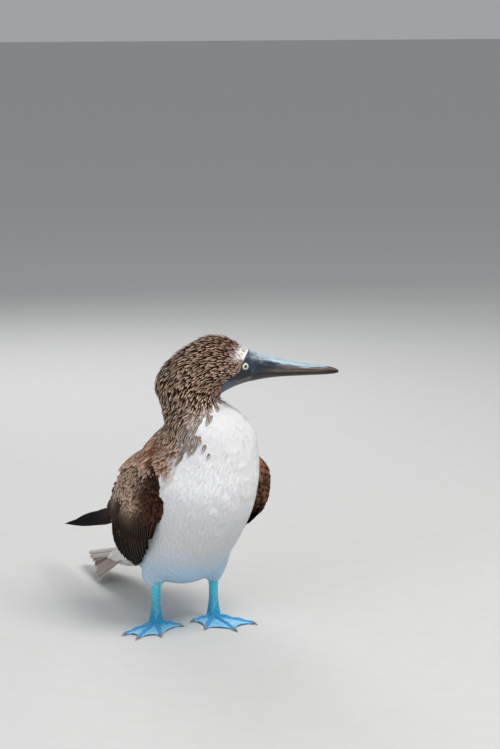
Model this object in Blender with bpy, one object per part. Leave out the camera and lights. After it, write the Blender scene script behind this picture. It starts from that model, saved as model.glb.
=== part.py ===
"""Blue-footed booby, life size, standing with its head turned to its left.

The model is first laid out in millimetres about the middle of its two feet: it faces -Y, its left is +X and the
floor is Z = 0. At the end everything moves so that the origin is the middle of the floor under its box.
"""

import math
import random

import bmesh
import bpy
from mathutils import Matrix, Vector

# Driving dimensions, in millimetres
MM = 0.001
GAP = 0.3
SIDES = {"right": -1, "left": 1}
RING_POINTS = 24
HEAD_TURN = 67.0
HEAD_X = -2.7
HEAD_Y = -6.4
LEG_X = {"right": -37.0, "left": 35.0}
ANKLE_Z = 12.0
TOE_WIDTH = 8.5
TOE_HEIGHT = 7.0
TOE_SIDES = 8
WEB_LOW = 0.5
WEB_THICKNESS = 1.4
WEB_HOLLOW = 0.11
FACE_S = 76.7
EYE_S = 68.8
EYE_Z = 306.5
EYE_SIDE = 13.6
EYE_RADIUS = 6.0
LID_RADIUS = 4.9
LID_THICKNESS = 2.4
LID_OUT = 4.2
LID_STEPS = 12
LID_SIDES = 5
PRIMARY_START = 98.0

# Rings of the body from tail root to face. Each row holds the turn of its fore-and-aft line in degrees, the x and y
# that its reaches are measured from, front reach and height, back reach and height, and half width.
TORSO_RINGS = (
    (0, 0, 0, -108, 60, -112, 78, 20),
    (0, 0, 0, -88, 52, -106, 91, 34),
    (0, 1, 0, -58, 45, -94, 108, 45),
    (0, 1, 0, -25, 42, -84, 128, 53),
    (0, 0, 0, 6, 46, -74, 150, 57),
    (0, -2, 0, 32, 58, -65, 170, 60),
    (0, -1, 0, 54, 78, -57, 187, 64),
    (0, 2, 0, 73, 105, -49, 201, 67),
    (0, 5, 0, 87, 135, -42, 214, 69),
    (0, 8, 0, 93, 165, -36, 225, 67),
    (0, 15, 0, 89, 192, -28, 236, 59),
    (5, 17, -2, 80.5, 217, -26, 246, 52.5),
)
NECK_RINGS = (
    (16, 11, -4, 69, 238, -33, 254, 49),
    (35, 5, -6, 54, 252, -34, 262, 42),
    (55, 0, -6.4, 46, 259, -34, 271, 39),
    (HEAD_TURN, HEAD_X, HEAD_Y, 41, 264.5, -34, 281, 36),
)
HEAD_RINGS = (
    (HEAD_TURN, HEAD_X, HEAD_Y, 41.5, 269, -28, 299, 34),
    (HEAD_TURN, HEAD_X, HEAD_Y, 43.5, 272.5, -14, 315, 32),
    (HEAD_TURN, HEAD_X, HEAD_Y, 46.5, 275, 0, 326, 30),
    (HEAD_TURN, HEAD_X, HEAD_Y, 50, 277, 14, 334.5, 28.5),
    (HEAD_TURN, HEAD_X, HEAD_Y, 54, 279, 28, 339.5, 27),
    (HEAD_TURN, HEAD_X, HEAD_Y, 58.5, 281, 43, 339, 25),
    (HEAD_TURN, HEAD_X, HEAD_Y, 63.5, 283, 56, 334, 22),
    (HEAD_TURN, HEAD_X, HEAD_Y, 69.5, 285, 67, 328, 18.5),
    (HEAD_TURN, HEAD_X, HEAD_Y, FACE_S, 286.8, FACE_S, 321.6, 14.5),
)
EGG = 0.08

# Bill sections: distance along the head, culmen, mouth line and underside heights, half width
BILL_SECTIONS = (
    (FACE_S + GAP, 321.5, 297.2, 286.8, 14.4),
    (90.0, 317.6, 297.6, 289.6, 11.8),
    (108.0, 313.6, 297.2, 291.8, 9.4),
    (126.0, 309.8, 297.6, 292.8, 7.8),
    (144.0, 306.9, 298.0, 293.6, 6.4),
    (160.0, 304.6, 298.2, 294.3, 5.0),
    (170.0, 302.2, 298.2, 295.2, 3.6),
    (176.0, 299.6, 297.9, 296.4, 1.6),
)

# Folded wings in side view. Tables run from front to back along Y.
WINGS = {
    "right": {
        "side": -1,
        "reach": ((-64, 52), (-50, 62), (-30, 66), (0, 67), (30, 66), (60, 63), (90, 59), (120, 55), (160, 52),
                  (220, 53), (302, 56)),
        "middle": ((-64, 150), (0, 142), (60, 128), (98, 111), (120, 104), (200, 81), (302, 52)),
        "top_inset": (0.31, 4),
        "low_inset": (0.33, 3),
        "arm": ((-62, 158, 142, 8), (-56, 180, 130, 20), (-42, 199, 120, 30), (-20, 207, 111, 34), (0, 208, 104, 34),
                (20, 203, 98, 34), (40, 191, 98, 32), (60, 174, 102, 30), (80, 151, 104, 26),
                (PRIMARY_START - GAP, 128, 104, 17)),
        "tiers": (
            {"count": 9, "width": 21, "lift": (-2.0, 1.2), "roots": ((-42, 130), (-4, 128), (52, 146)),
             "tips": ((-26, 110), (38, 62), (92, 96))},
            {"count": 7, "width": 27, "lift": (-2.5, 3.2), "roots": ((-48, 150), (0, 152), (50, 160)),
             "tips": ((-42, 124), (14, 110), (84, 118))},
            {"count": 6, "width": 29, "lift": (-2.5, 3.2), "roots": ((-48, 174), (0, 180), (40, 178)),
             "tips": ((-49, 145), (8, 140), (70, 142))},
        ),
    },
    "left": {
        "side": 1,
        "reach": ((-64, 66), (-50, 80), (-30, 92), (0, 96), (30, 90), (60, 80), (90, 66), (120, 52), (160, 40),
                  (220, 29), (302, 18)),
        "middle": ((-64, 176), (-30, 172), (0, 160), (60, 134), (98, 111), (120, 104), (200, 81), (302, 52)),
        "top_inset": (0.97, 2),
        "low_inset": (0.75, 3),
        "arm": ((-62, 184, 168, 8), (-56, 196, 156, 20), (-42, 207, 140, 30), (-20, 214, 126, 34), (0, 212, 118, 34),
                (20, 204, 110, 36), (40, 191, 106, 36), (60, 174, 102, 34), (80, 151, 104, 28),
                (PRIMARY_START - GAP, 128, 104, 18)),
        "tiers": (
            {"count": 9, "width": 21, "lift": (-2.0, 1.4), "roots": ((-44, 146), (-8, 146), (52, 150)),
             "tips": ((-30, 118), (22, 88), (92, 96))},
            {"count": 7, "width": 27, "lift": (-2.5, 3.6), "roots": ((-48, 166), (0, 165), (50, 162)),
             "tips": ((-44, 138), (12, 122), (84, 118))},
            {"count": 6, "width": 29, "lift": (-2.5, 3.6), "roots": ((-48, 186), (0, 186), (40, 179)),
             "tips": ((-50, 158), (8, 148), (70, 142))},
        ),
    },
}
INSET_TOP_SPAN = 60.0
INSET_LOW_SPAN = 74.0
INSET_MOST = 0.6
# Vanes: share of the length and of the width at each ring, in order from the root
VANE_RINGS = ((0.0, 0.60), (0.55, 1.0), (0.85, 0.80), (1.0, 0.24))
LONG_VANE_RINGS = ((0.0, 0.70), (0.35, 1.0), (0.68, 0.90), (0.88, 0.55), (1.0, 0.10))
VANE_THICKNESS = 0.9
VANE_EDGE = 0.55
VANE_ARCH = 0.05
VANE_TILT = -0.10
# Root block of the folded primaries: Y, top and bottom heights, and depth of the solid
PRIMARY_ROOT = ((PRIMARY_START, 127, 102, 9), (108, 120, 100, 9), (122, 112, 97, 6), (136, 105, 93, 2))
PRIMARY_COUNT = 7
PRIMARY_WIDTH = 11.0
PRIMARY_STEP = 1.25
PRIMARY_ROOTS = ((104, 105), (103, 110), (102, 116))
PRIMARY_TIPS = ((303, 52), (270, 63), (204, 83))

# Tail root block: Y, middle X, half width, height at the middle, droop of the edge, depth
TAIL_ROOT = ((104, 0, 20, 81, 8, 36), (120, -1, 23, 75, 10, 37), (138, -2, 25, 69, 12, 35), (156, -4, 25, 62, 13, 32),
             (174, -6, 23, 54, 14, 25), (192, -9, 18, 47, 12, 12))
# Tail surface: Y, middle X, height at the middle, and droop at 28 mm from the middle
TAIL_LINE = ((104, 0, 77, 10), (130, -2, 66, 15), (160, -6, 56, 21), (200, -12, 44, 26), (240, -18, 32, 28),
             (280, -23, 21, 29))
TAIL_DROOP_REACH = 28.0
TAIL_PAIRS = 6
TAIL_WIDTH = 15.0
TAIL_STEP = 1.2
TAIL_LONGEST = 272.0
TAIL_SHORTEST = 200.0
TAIL_SPREAD = 26.0

# Rings of the feathered thigh: height, shift towards the middle of the body, half width and half depth
THIGH_LOW_Z = 46.0
# Thigh rings: height, shift towards the middle of the body, shift to the back, half width and half depth
THIGH_RINGS = {
    "right": (
        (THIGH_LOW_Z, 0.0, 0.0, 8.5, 9.5),
        (49.0, 0.0, 7.0, 12.5, 15.0),
        (56.0, 0.0, 10.0, 16.5, 18.0),
        (66.0, 4.0, 2.0, 19.5, 19.5),
        (84.0, 11.0, -1.0, 19.0, 18.5),
        (100.0, 20.0, 2.0, 11.0, 14.0),
    ),
    "left": (
        (THIGH_LOW_Z, 0.0, 0.0, 8.5, 9.5),
        (49.0, 0.0, 2.0, 12.0, 14.0),
        (56.0, 0.5, 3.0, 16.5, 17.5),
        (68.0, 1.0, 3.0, 21.5, 21.0),
        (84.0, 0.5, 2.0, 25.0, 23.0),
        (98.0, 4.0, 0.0, 24.0, 22.0),
        (112.0, 16.0, 0.0, 13.0, 16.0),
    ),
}
# Rings of the bare leg: height, half width and half depth
LEG_RINGS = (
    (ANKLE_Z + GAP, 7.2, 8.0),
    (18.0, 6.0, 7.0),
    (27.0, 5.3, 6.2),
    (38.0, 5.3, 6.2),
    (THIGH_LOW_Z - GAP, 5.8, 6.8),
)

# Toes of each foot: name, length without claw, and turn from straight ahead towards the outer side, in degrees
FEET = {
    "right": (("hallux", 29.0, -52.0), ("inner", 46.0, 14.0), ("middle", 57.0, 41.0), ("outer", 53.0, 62.0)),
    "left": (("hallux", 29.0, -76.0), ("inner", 46.0, -33.0), ("middle", 57.0, 3.0), ("outer", 53.0, 37.0)),
}
CLAW_LENGTH = {"hallux": 5.0, "inner": 7.0, "middle": 8.5, "outer": 6.5}

COLOURS = {
    "torso": ((0.80, 0.79, 0.78), 0.85),
    "neck": ((0.42, 0.34, 0.27), 0.85),
    "head": ((0.33, 0.25, 0.19), 0.85),
    "bill": ((0.20, 0.27, 0.33), 0.45),
    "eye": ((0.75, 0.72, 0.45), 0.10),
    "wing": ((0.17, 0.10, 0.06), 0.75),
    "primary": ((0.03, 0.022, 0.018), 0.60),
    "tail": ((0.62, 0.54, 0.50), 0.75),
    "leg": ((0.04, 0.36, 0.46), 0.55),
    "foot": ((0.09, 0.45, 0.72), 0.50),
    "claw": ((0.18, 0.18, 0.19), 0.40),
}


def clear_scene():
    for obj in list(bpy.data.objects):
        bpy.data.objects.remove(obj, do_unlink=True)


def new_collection(name):
    collection = bpy.data.collections.new(name)
    bpy.context.scene.collection.children.link(collection)
    return collection


def make_material(name, finish):
    colour, roughness = COLOURS[finish]
    material = bpy.data.materials.new(name)
    material.use_nodes = True
    shader = material.node_tree.nodes["Principled BSDF"]
    shader.inputs["Base Color"].default_value = (*colour, 1.0)
    shader.inputs["Roughness"].default_value = roughness
    shader.inputs["Metallic"].default_value = 0.0
    return material


def add_object(name, bm, collection, finish=None):
    """Turn a bmesh laid out in millimetres into a smooth-shaded object in metres."""
    bmesh.ops.scale(bm, vec=(MM, MM, MM), verts=bm.verts)
    bmesh.ops.recalc_face_normals(bm, faces=bm.faces)
    mesh = bpy.data.meshes.new(name)
    bm.to_mesh(mesh)
    bm.free()
    mesh.shade_smooth()
    obj = bpy.data.objects.new(name, mesh)
    collection.objects.link(obj)
    if finish:
        mesh.materials.append(make_material(name, finish))
    return obj


def hermite(before, start, end, after, t):
    """Smooth value between start and end, whose slopes follow their neighbours."""
    slope_start = (end - before) / 2
    slope_end = (after - start) / 2
    a = 2 * start - 2 * end + slope_start + slope_end
    b = -3 * start + 3 * end - 2 * slope_start - slope_end
    return ((a * t + b) * t + slope_start) * t + start


def refine(rows, steps):
    """Rows of numbers with smooth rows set between them."""
    last = len(rows) - 1
    fine = []
    for i in range(last):
        group = (rows[max(i - 1, 0)], rows[i], rows[i + 1], rows[min(i + 2, last)])
        for k in range(steps):
            fine.append(tuple(hermite(*values, k / steps) for values in zip(*group)))
    fine.append(tuple(float(value) for value in rows[last]))
    return fine


def look_up(table, x):
    """Smooth value of a table of (x, value) rows at x."""
    last = len(table) - 1
    i = 0
    while i < last - 1 and x > table[i + 1][0]:
        i += 1
    t = (x - table[i][0]) / (table[i + 1][0] - table[i][0])
    values = [table[k][1] for k in (max(i - 1, 0), i, i + 1, min(i + 2, last))]
    if 0 <= t <= 1:
        return hermite(*values, t)
    return values[1] + (values[2] - values[1]) * t


def loft(rings):
    """Closed body through rings of equally many points."""
    bm = bmesh.new()
    loops = [[bm.verts.new(point) for point in ring] for ring in rings]
    count = len(loops[0])
    for low, high in zip(loops, loops[1:]):
        for k in range(count):
            m = (k + 1) % count
            bm.faces.new((low[k], low[m], high[m], high[k]))
    bm.faces.new(list(reversed(loops[0])))
    bm.faces.new(loops[-1])
    return bm


def apply_modifiers(obj):
    depsgraph = bpy.context.evaluated_depsgraph_get()
    mesh = bpy.data.meshes.new_from_object(obj.evaluated_get(depsgraph))
    obj.modifiers.clear()
    old = obj.data
    obj.data = mesh
    bpy.data.meshes.remove(old)


def box_size(faces):
    spans = []
    for k in range(3):
        values = [vert.co[k] for face in faces for vert in face.verts]
        spans.append(max(values) - min(values))
    return spans[0] * spans[1] * spans[2]


def keep_largest(obj):
    """Delete every closed surface of a mesh but its largest."""
    bm = bmesh.new()
    bm.from_mesh(obj.data)
    unseen = set(bm.faces)
    groups = []
    while unseen:
        stack = [unseen.pop()]
        group = []
        while stack:
            face = stack.pop()
            group.append(face)
            for edge in face.edges:
                if len(edge.link_faces) != 2:
                    continue
                for other in edge.link_faces:
                    if other in unseen:
                        unseen.remove(other)
                        stack.append(other)
        groups.append(group)
    groups.sort(key=box_size)
    for group in groups[:-1]:
        bmesh.ops.delete(bm, geom=group, context="FACES")
    bm.to_mesh(obj.data)
    bm.free()


def boolean(obj, others, operation, helpers):
    """Cut or join obj by several closed objects at once, which are removed afterwards."""
    group = bpy.data.collections.new(obj.name + "_operands")
    helpers.children.link(group)
    for other in others:
        for owner in list(other.users_collection):
            owner.objects.unlink(other)
        group.objects.link(other)
    modifier = obj.modifiers.new("join", "BOOLEAN")
    modifier.operation = operation
    modifier.operand_type = "COLLECTION"
    modifier.collection = group
    modifier.solver = "EXACT"
    bpy.context.view_layer.update()
    apply_modifiers(obj)
    for other in others:
        bpy.data.objects.remove(other, do_unlink=True)
    bpy.data.collections.remove(group)
    keep_largest(obj)


def forward(turn):
    angle = math.radians(turn)
    return Vector((math.sin(angle), -math.cos(angle), 0))


def head_place(along, side, z):
    """Point in the head's frame: along the bill, to the head's left, and up."""
    ahead = forward(HEAD_TURN)
    left = Vector((-ahead.y, ahead.x, 0))
    return Vector((HEAD_X, HEAD_Y, z)) + ahead * along + left * side


def body_ring(row, grow=0.0, shift=0.0):
    """Egg-shaped ring of the body, widened by grow and moved along its axis by shift."""
    turn, x, y, front, front_z, back, back_z, half_width = row
    ahead = forward(turn)
    left = Vector((-ahead.y, ahead.x, 0))
    start = Vector((x, y, front_z)) + ahead * front
    end = Vector((x, y, back_z)) + ahead * back
    centre = (start + end) / 2
    depth = (start - end) / 2
    half_depth = depth.length + grow
    depth.normalize()
    axis = left.cross(depth)
    points = []
    for k in range(RING_POINTS):
        angle = 2 * math.pi * k / RING_POINTS
        width = (half_width + grow) * (1 + EGG * math.cos(angle))
        points.append(centre + depth * half_depth * math.cos(angle) + left * width * math.sin(angle) - axis * shift)
    return points


def torso_rings(grow=0.0):
    rows = refine(TORSO_RINGS + NECK_RINGS, 2)
    rows = rows[:2 * (len(TORSO_RINGS) - 1) + 1]
    return [body_ring(row, grow) for row in rows]


def build_torso(parts, helpers):
    """Body with its two feathered thighs."""
    torso = add_object("torso", loft(torso_rings()), parts, "torso")
    thighs = []
    for label in SIDES:
        rings = [flat_ring(LEG_X[label] - SIDES[label] * inward, behind, z, half_x, half_y)
                 for z, inward, behind, half_x, half_y in THIGH_RINGS[label]]
        thighs.append(add_object("thigh", loft(rings), helpers))
    boolean(torso, thighs, "UNION", helpers)


def torso_cutter(helpers):
    """Torso widened by the gap, which cuts what meets it."""
    cutter = add_object("torso_space", loft(torso_rings(GAP + 0.05)), helpers)
    cutter.hide_render = True
    cutter.display_type = "WIRE"
    return cutter


def body_stretch(start, end, first_shift, last_shift):
    """Rings of the whole body between two rows, with both ends drawn in by a gap."""
    rows = refine(TORSO_RINGS + NECK_RINGS + HEAD_RINGS, 2)[2 * start:2 * end + 1]
    rings = [body_ring(row) for row in rows]
    rings[0] = body_ring(rows[0], 0.0, first_shift)
    rings[-1] = body_ring(rows[-1], 0.0, last_shift)
    return rings


def build_neck(parts):
    start = len(TORSO_RINGS) - 1
    end = start + len(NECK_RINGS)
    return add_object("neck", loft(body_stretch(start, end, GAP, 0.0)), parts, "neck")


def eye_centre(side):
    return head_place(EYE_S, side * EYE_SIDE, EYE_Z)


def sphere(centre, radius, segments, rings):
    bm = bmesh.new()
    bmesh.ops.create_uvsphere(bm, u_segments=segments, v_segments=rings, radius=radius)
    bmesh.ops.translate(bm, vec=centre, verts=bm.verts)
    return bm


def build_lid(side, helpers):
    """Fleshy ring round an eye, in the plane that faces sideways and a little forward."""
    facing = (head_place(0.25, side, 0) - head_place(0, 0, 0)).normalized()
    centre = eye_centre(side) + facing * LID_OUT
    turn = facing.to_track_quat("Z", "Y")
    bm = bmesh.new()
    loops = []
    for k in range(LID_STEPS):
        around = 2 * math.pi * k / LID_STEPS
        loops.append([])
        for m in range(LID_SIDES):
            across = 2 * math.pi * m / LID_SIDES
            radius = LID_RADIUS + LID_THICKNESS / 2 * math.cos(across)
            rise = LID_THICKNESS / 2 * math.sin(across)
            local = Vector((radius * math.cos(around), radius * math.sin(around), rise))
            loops[-1].append(bm.verts.new(centre + turn @ local))
    for k in range(LID_STEPS):
        here, ahead = loops[k], loops[(k + 1) % LID_STEPS]
        for m in range(LID_SIDES):
            n = (m + 1) % LID_SIDES
            bm.faces.new((here[m], ahead[m], ahead[n], here[n]))
    return add_object("lid", bm, helpers)


def gape_cutter(helpers):
    """Thin slit that carries the line of the mouth back into the cheek."""
    bm = bmesh.new()
    bmesh.ops.create_cube(bm, size=1.0)
    bmesh.ops.scale(bm, vec=(20, 60, 0.6), verts=bm.verts)
    tilt = Matrix.Rotation(math.radians(-18), 4, "Y") @ Matrix.Identity(4)
    turn = Matrix.Rotation(math.radians(HEAD_TURN - 90), 4, "Z")
    bmesh.ops.transform(bm, matrix=turn @ tilt, verts=bm.verts)
    bmesh.ops.translate(bm, vec=head_place(72, 0, 294.5), verts=bm.verts)
    return add_object("gape", bm, helpers)


def build_head(parts, helpers):
    start = len(TORSO_RINGS) + len(NECK_RINGS) - 1
    end = start + len(HEAD_RINGS)
    head = add_object("head", loft(body_stretch(start, end, GAP, 0.0)), parts, "head")
    boolean(head, [build_lid(side, helpers) for side in SIDES.values()], "UNION", helpers)
    sockets = [add_object("socket", sphere(eye_centre(side), EYE_RADIUS + 2 * GAP, 14, 8), helpers)
               for side in SIDES.values()]
    boolean(head, sockets + [gape_cutter(helpers)], "DIFFERENCE", helpers)
    return head


def build_eyes(parts):
    for label, side in SIDES.items():
        add_object("eye_" + label, sphere(eye_centre(side), EYE_RADIUS, 16, 9), parts, "eye")


def bill_ring(along, flat_z, round_z, half_width):
    """Section of one half of the bill: a flat side at the mouth and a rounded side away from it."""
    points = []
    count = 9
    for k in range(count + 1):
        angle = math.pi * k / count
        height = flat_z + (round_z - flat_z) * math.sin(angle) ** 0.8
        points.append(head_place(along, half_width * math.cos(angle), height))
    return points


def build_bill(parts):
    rows = refine(BILL_SECTIONS, 2)
    upper = [bill_ring(s, mouth + GAP / 2, top, width) for s, top, mouth, low, width in rows]
    lower = [bill_ring(s, mouth - GAP / 2, low, width * 0.94) for s, top, mouth, low, width in rows]
    add_object("bill_upper", loft(upper), parts, "bill")
    add_object("bill_lower", loft(lower), parts, "bill")


def wing_point(wing, y, z):
    """Point of a folded wing's outer face at a place in side view."""
    rise = z - look_up(wing["middle"], y)
    if rise > 0:
        share, power = wing["top_inset"]
        inset = share * (rise / INSET_TOP_SPAN) ** power
    else:
        share, power = wing["low_inset"]
        inset = share * (-rise / INSET_LOW_SPAN) ** power
    inset = min(inset, INSET_MOST)
    return Vector((wing["side"] * look_up(wing["reach"], y) * (1 - inset), y, z))


def wing_normal(wing, y, z):
    along = wing_point(wing, y + 1, z) - wing_point(wing, y - 1, z)
    up = wing_point(wing, y, z + 1) - wing_point(wing, y, z - 1)
    normal = along.cross(up).normalized()
    if normal.x * wing["side"] < 0:
        normal.negate()
    return normal


def wing_ring(wing, row):
    """Section of a wing solid: its outer face, and an inner face sunk by its depth."""
    y, top, low, depth = row
    across = 7
    outer = []
    inner = []
    for k in range(across):
        w = -1 + 2 * k / (across - 1)
        z = (top + low) / 2 + (top - low) / 2 * math.sin(w * math.pi / 2)
        point = wing_point(wing, y, z)
        outer.append(point)
        if 0 < k < across - 1:
            inward = Vector((-wing["side"], 0, 0))
            inner.append(point + inward * depth * math.cos(w * math.pi / 2) ** 0.5)
    return outer + inner[::-1]


def wing_place(wing):
    """Function that gives the point at a height over the wing's outer face."""
    def place(y, z, height):
        return wing_point(wing, y, z) + wing_normal(wing, y, z) * height
    return place


def along_arc(points, t):
    """Point of the smooth arc through three points, from t = 0 to 1."""
    first = (1 - t) * (1 - 2 * t)
    middle = 4 * t * (1 - t)
    last = t * (2 * t - 1)
    return [first * a + middle * b + last * c for a, b, c in zip(*points)]


def build_vane(place, root, tip, width, lift, tilt, helpers, outline=VANE_RINGS):
    """Thin tapered vane laid over a surface, split into triangles alike on both faces."""
    length = math.hypot(tip[0] - root[0], tip[1] - root[1])
    along = ((tip[0] - root[0]) / length, (tip[1] - root[1]) / length)
    across = (-along[1], along[0])
    bm = bmesh.new()
    upper = []
    lower = []
    for t, share in outline:
        middle = (root[0] + along[0] * length * t, root[1] + along[1] * length * t)
        height = lift[0] + (lift[1] - lift[0]) * t ** 0.7
        upper.append([])
        lower.append([])
        for side in (-1, 0, 1):
            offset = side * share * width / 2
            thickness = VANE_EDGE if side else VANE_THICKNESS
            rise = height + tilt * offset - VANE_ARCH * abs(offset)
            p = middle[0] + across[0] * offset
            q = middle[1] + across[1] * offset
            upper[-1].append(bm.verts.new(place(p, q, rise + thickness / 2)))
            lower[-1].append(bm.verts.new(place(p, q, rise - thickness / 2)))
    for face in (upper, lower):
        for near, far in zip(face, face[1:]):
            for k in (0, 1):
                bm.faces.new((near[k], near[k + 1], far[k + 1]))
                bm.faces.new((near[k], far[k + 1], far[k]))
    for i in range(len(outline) - 1):
        for k in (0, 2):
            bm.faces.new((upper[i][k], upper[i + 1][k], lower[i + 1][k], lower[i][k]))
    for i in (0, -1):
        for k in (0, 1):
            bm.faces.new((upper[i][k], upper[i][k + 1], lower[i][k + 1], lower[i][k]))
    return add_object("vane", bm, helpers)


def build_tier(place, tier, draw, helpers):
    """Row of overlapping vanes whose roots and tips follow two arcs."""
    vanes = []
    for k in range(tier["count"]):
        t = k / (tier["count"] - 1)
        root = along_arc(tier["roots"], t)
        tip = along_arc(tier["tips"], t)
        stretch = draw.uniform(-1.5, 1.5)
        tip = (tip[0] + 0.5 * stretch, tip[1] - stretch)
        vanes.append(build_vane(place, root, tip, tier["width"], tier["lift"], VANE_TILT, helpers))
    return vanes


def build_wing(label, parts, helpers):
    """Arm of the wing with its coverts and secondaries."""
    wing = WINGS[label]
    draw = random.Random("feathers of the wing on the " + label)
    place = wing_place(wing)
    arm = add_object("wing_" + label, loft([wing_ring(wing, row) for row in refine(wing["arm"], 2)]), parts, "wing")
    vanes = []
    for tier in wing["tiers"]:
        vanes += build_tier(place, tier, draw, helpers)
    boolean(arm, vanes, "UNION", helpers)
    boolean(arm, [torso_cutter(helpers)], "DIFFERENCE", helpers)


def build_primaries(label, parts, helpers):
    """Folded primaries, the longest innermost and lowest."""
    wing = WINGS[label]
    place = wing_place(wing)
    rings = [wing_ring(wing, row) for row in refine(PRIMARY_ROOT, 2)]
    block = add_object("primaries_" + label, loft(rings), parts, "primary")
    vanes = []
    for k in range(PRIMARY_COUNT):
        t = k / (PRIMARY_COUNT - 1)
        height = -PRIMARY_STEP * (PRIMARY_COUNT - k) + PRIMARY_STEP
        root = along_arc(PRIMARY_ROOTS, t)
        tip = along_arc(PRIMARY_TIPS, t)
        vane = build_vane(place, root, tip, PRIMARY_WIDTH, (height, height), 0.0, helpers, LONG_VANE_RINGS)
        vanes.append(vane)
    boolean(block, vanes, "UNION", helpers)


def tail_ring(row):
    y, x, half_width, top, droop, depth = row
    across = 7
    upper = []
    lower = []
    for k in range(across):
        w = -1 + 2 * k / (across - 1)
        z = top - droop * w * w
        upper.append(Vector((x + half_width * w, y, z)))
        if 0 < k < across - 1:
            lower.append(Vector((x + half_width * w, y, z - depth * (1 - w * w) ** 0.5)))
    return upper + lower[::-1]


def tail_place(x, y, height):
    """Point at a height over the tail's roof-shaped surface, for a distance x from its middle line."""
    rows = [[(row[0], row[k]) for row in TAIL_LINE] for k in (1, 2, 3)]
    middle, top, droop = (look_up(row, y) for row in rows)
    fall = droop * (x / TAIL_DROOP_REACH) ** 2
    slope = 2 * droop * x / TAIL_DROOP_REACH ** 2
    normal = Vector((slope, 0, 1)).normalized()
    return Vector((middle + x, y, top - fall)) + normal * height


def build_tail(parts, helpers):
    """Root block with vanes, the middle pair longest and on top."""
    tail = add_object("tail", loft([tail_ring(row) for row in refine(TAIL_ROOT, 2)]), parts, "tail")
    vanes = []
    for side in (-1, 1):
        for k in range(TAIL_PAIRS):
            t = k / (TAIL_PAIRS - 1)
            height = -1.8 - TAIL_STEP * k - (TAIL_STEP / 2 if side > 0 else 0)
            root = (side * (2.5 + 10 * t), 116)
            tip = (side * (3 + TAIL_SPREAD * t), TAIL_LONGEST + (TAIL_SHORTEST - TAIL_LONGEST) * t)
            vanes.append(build_vane(tail_place, root, tip, TAIL_WIDTH, (height, height + 1.0), 0.0, helpers))
    boolean(tail, vanes, "UNION", helpers)
    boolean(tail, [torso_cutter(helpers)], "DIFFERENCE", helpers)


def flat_ring(x, y, z, half_x, half_y, count=14):
    points = []
    for k in range(count):
        angle = 2 * math.pi * k / count
        points.append(Vector((x + half_x * math.cos(angle), y + half_y * math.sin(angle), z)))
    return points


def build_legs(parts):
    for label in SIDES:
        rings = [flat_ring(LEG_X[label], 0, z, half_x, half_y) for z, half_x, half_y in LEG_RINGS]
        add_object("leg_" + label, loft(rings), parts, "leg")


def toe_line(label, turn, distance):
    angle = math.radians(turn)
    return Vector((LEG_X[label] + SIDES[label] * distance * math.sin(angle), -distance * math.cos(angle), 0))


def toe_ring(label, turn, distance, width, height):
    """Rounded toe section with a flat sole on the floor."""
    angle = math.radians(turn)
    across = Vector((SIDES[label] * math.cos(angle), math.sin(angle), 0))
    centre = toe_line(label, turn, distance)
    points = []
    for k in range(TOE_SIDES):
        around = 2 * math.pi * (k + 0.5) / TOE_SIDES
        up = max(0.0, (math.sin(around) + 0.6) / 1.6)
        points.append(centre + across * width / 2 * math.cos(around) + Vector((0, 0, height * up)))
    return points


def build_toe(label, length, turn, helpers):
    """Toe with a swelling at each joint."""
    rings = []
    steps = 6
    for k in range(steps + 1):
        t = k / steps
        swelling = 1 + 0.10 * math.cos(t * 6 * math.pi)
        width = TOE_WIDTH * (1 - 0.42 * t) * swelling
        height = TOE_HEIGHT * (1 - 0.45 * t) * swelling
        rings.append(toe_ring(label, turn, -3 + (length + 3) * t, width, height))
    return add_object("toe", loft(rings), helpers)


def build_web(label, toe, next_toe, helpers):
    """Thin skin between two toes, hollow at its free edge and a little arched."""
    rows = 5
    across = 5
    upper = []
    lower = []
    for k in range(rows):
        t = 0.08 + 0.90 * k / (rows - 1)
        upper.append([])
        lower.append([])
        for m in range(across + 1):
            w = m / across
            hollow = 1 - WEB_HOLLOW * t * 4 * w * (1 - w)
            start = toe_line(label, toe[2], toe[1] * t * hollow)
            end = toe_line(label, next_toe[2], next_toe[1] * t * hollow)
            arch = 1.2 * math.sin(math.pi * w)
            point = start.lerp(end, w)
            upper[-1].append(Vector((point.x, point.y, WEB_LOW + WEB_THICKNESS + arch)))
            lower[-1].append(Vector((point.x, point.y, WEB_LOW + arch)))
    rings = [top + low[::-1] for top, low in zip(upper, lower)]
    bm = loft(rings)
    bmesh.ops.triangulate(bm, faces=bm.faces)
    return add_object("web", bm, helpers)


def build_claw(name, label, length, turn, start, parts):
    rings = []
    steps = 3
    for k in range(steps + 1):
        t = k / steps
        width = TOE_WIDTH * 0.46 * (1 - 0.82 * t)
        height = TOE_HEIGHT * 0.50 * (1 - 0.75 * t)
        ring = toe_ring(label, turn, start + length * t, width, height)
        lift = 1.2 * math.sin(math.pi * t) * (1 - t)
        rings.append([point + Vector((0, 0, lift)) for point in ring])
    add_object(name, loft(rings), parts, "claw")


def build_feet(parts, helpers):
    for label in SIDES:
        toes = FEET[label]
        rings = [flat_ring(LEG_X[label], 0, z, half_x, half_y)
                 for z, half_x, half_y in ((0.0, 8.0, 9.0), (4.0, 8.4, 9.4), (ANKLE_Z, 7.2, 8.0))]
        foot = add_object("foot_" + label, loft(rings), parts, "foot")
        pieces = [build_toe(label, toe[1], toe[2], helpers) for toe in toes]
        pieces += [build_web(label, toe, next_toe, helpers) for toe, next_toe in zip(toes, toes[1:])]
        boolean(foot, pieces, "UNION", helpers)
        for toe_name, length, turn in toes:
            name = "claw_" + label + "_" + toe_name
            build_claw(name, label, CLAW_LENGTH[toe_name], turn, length + GAP, parts)


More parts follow.
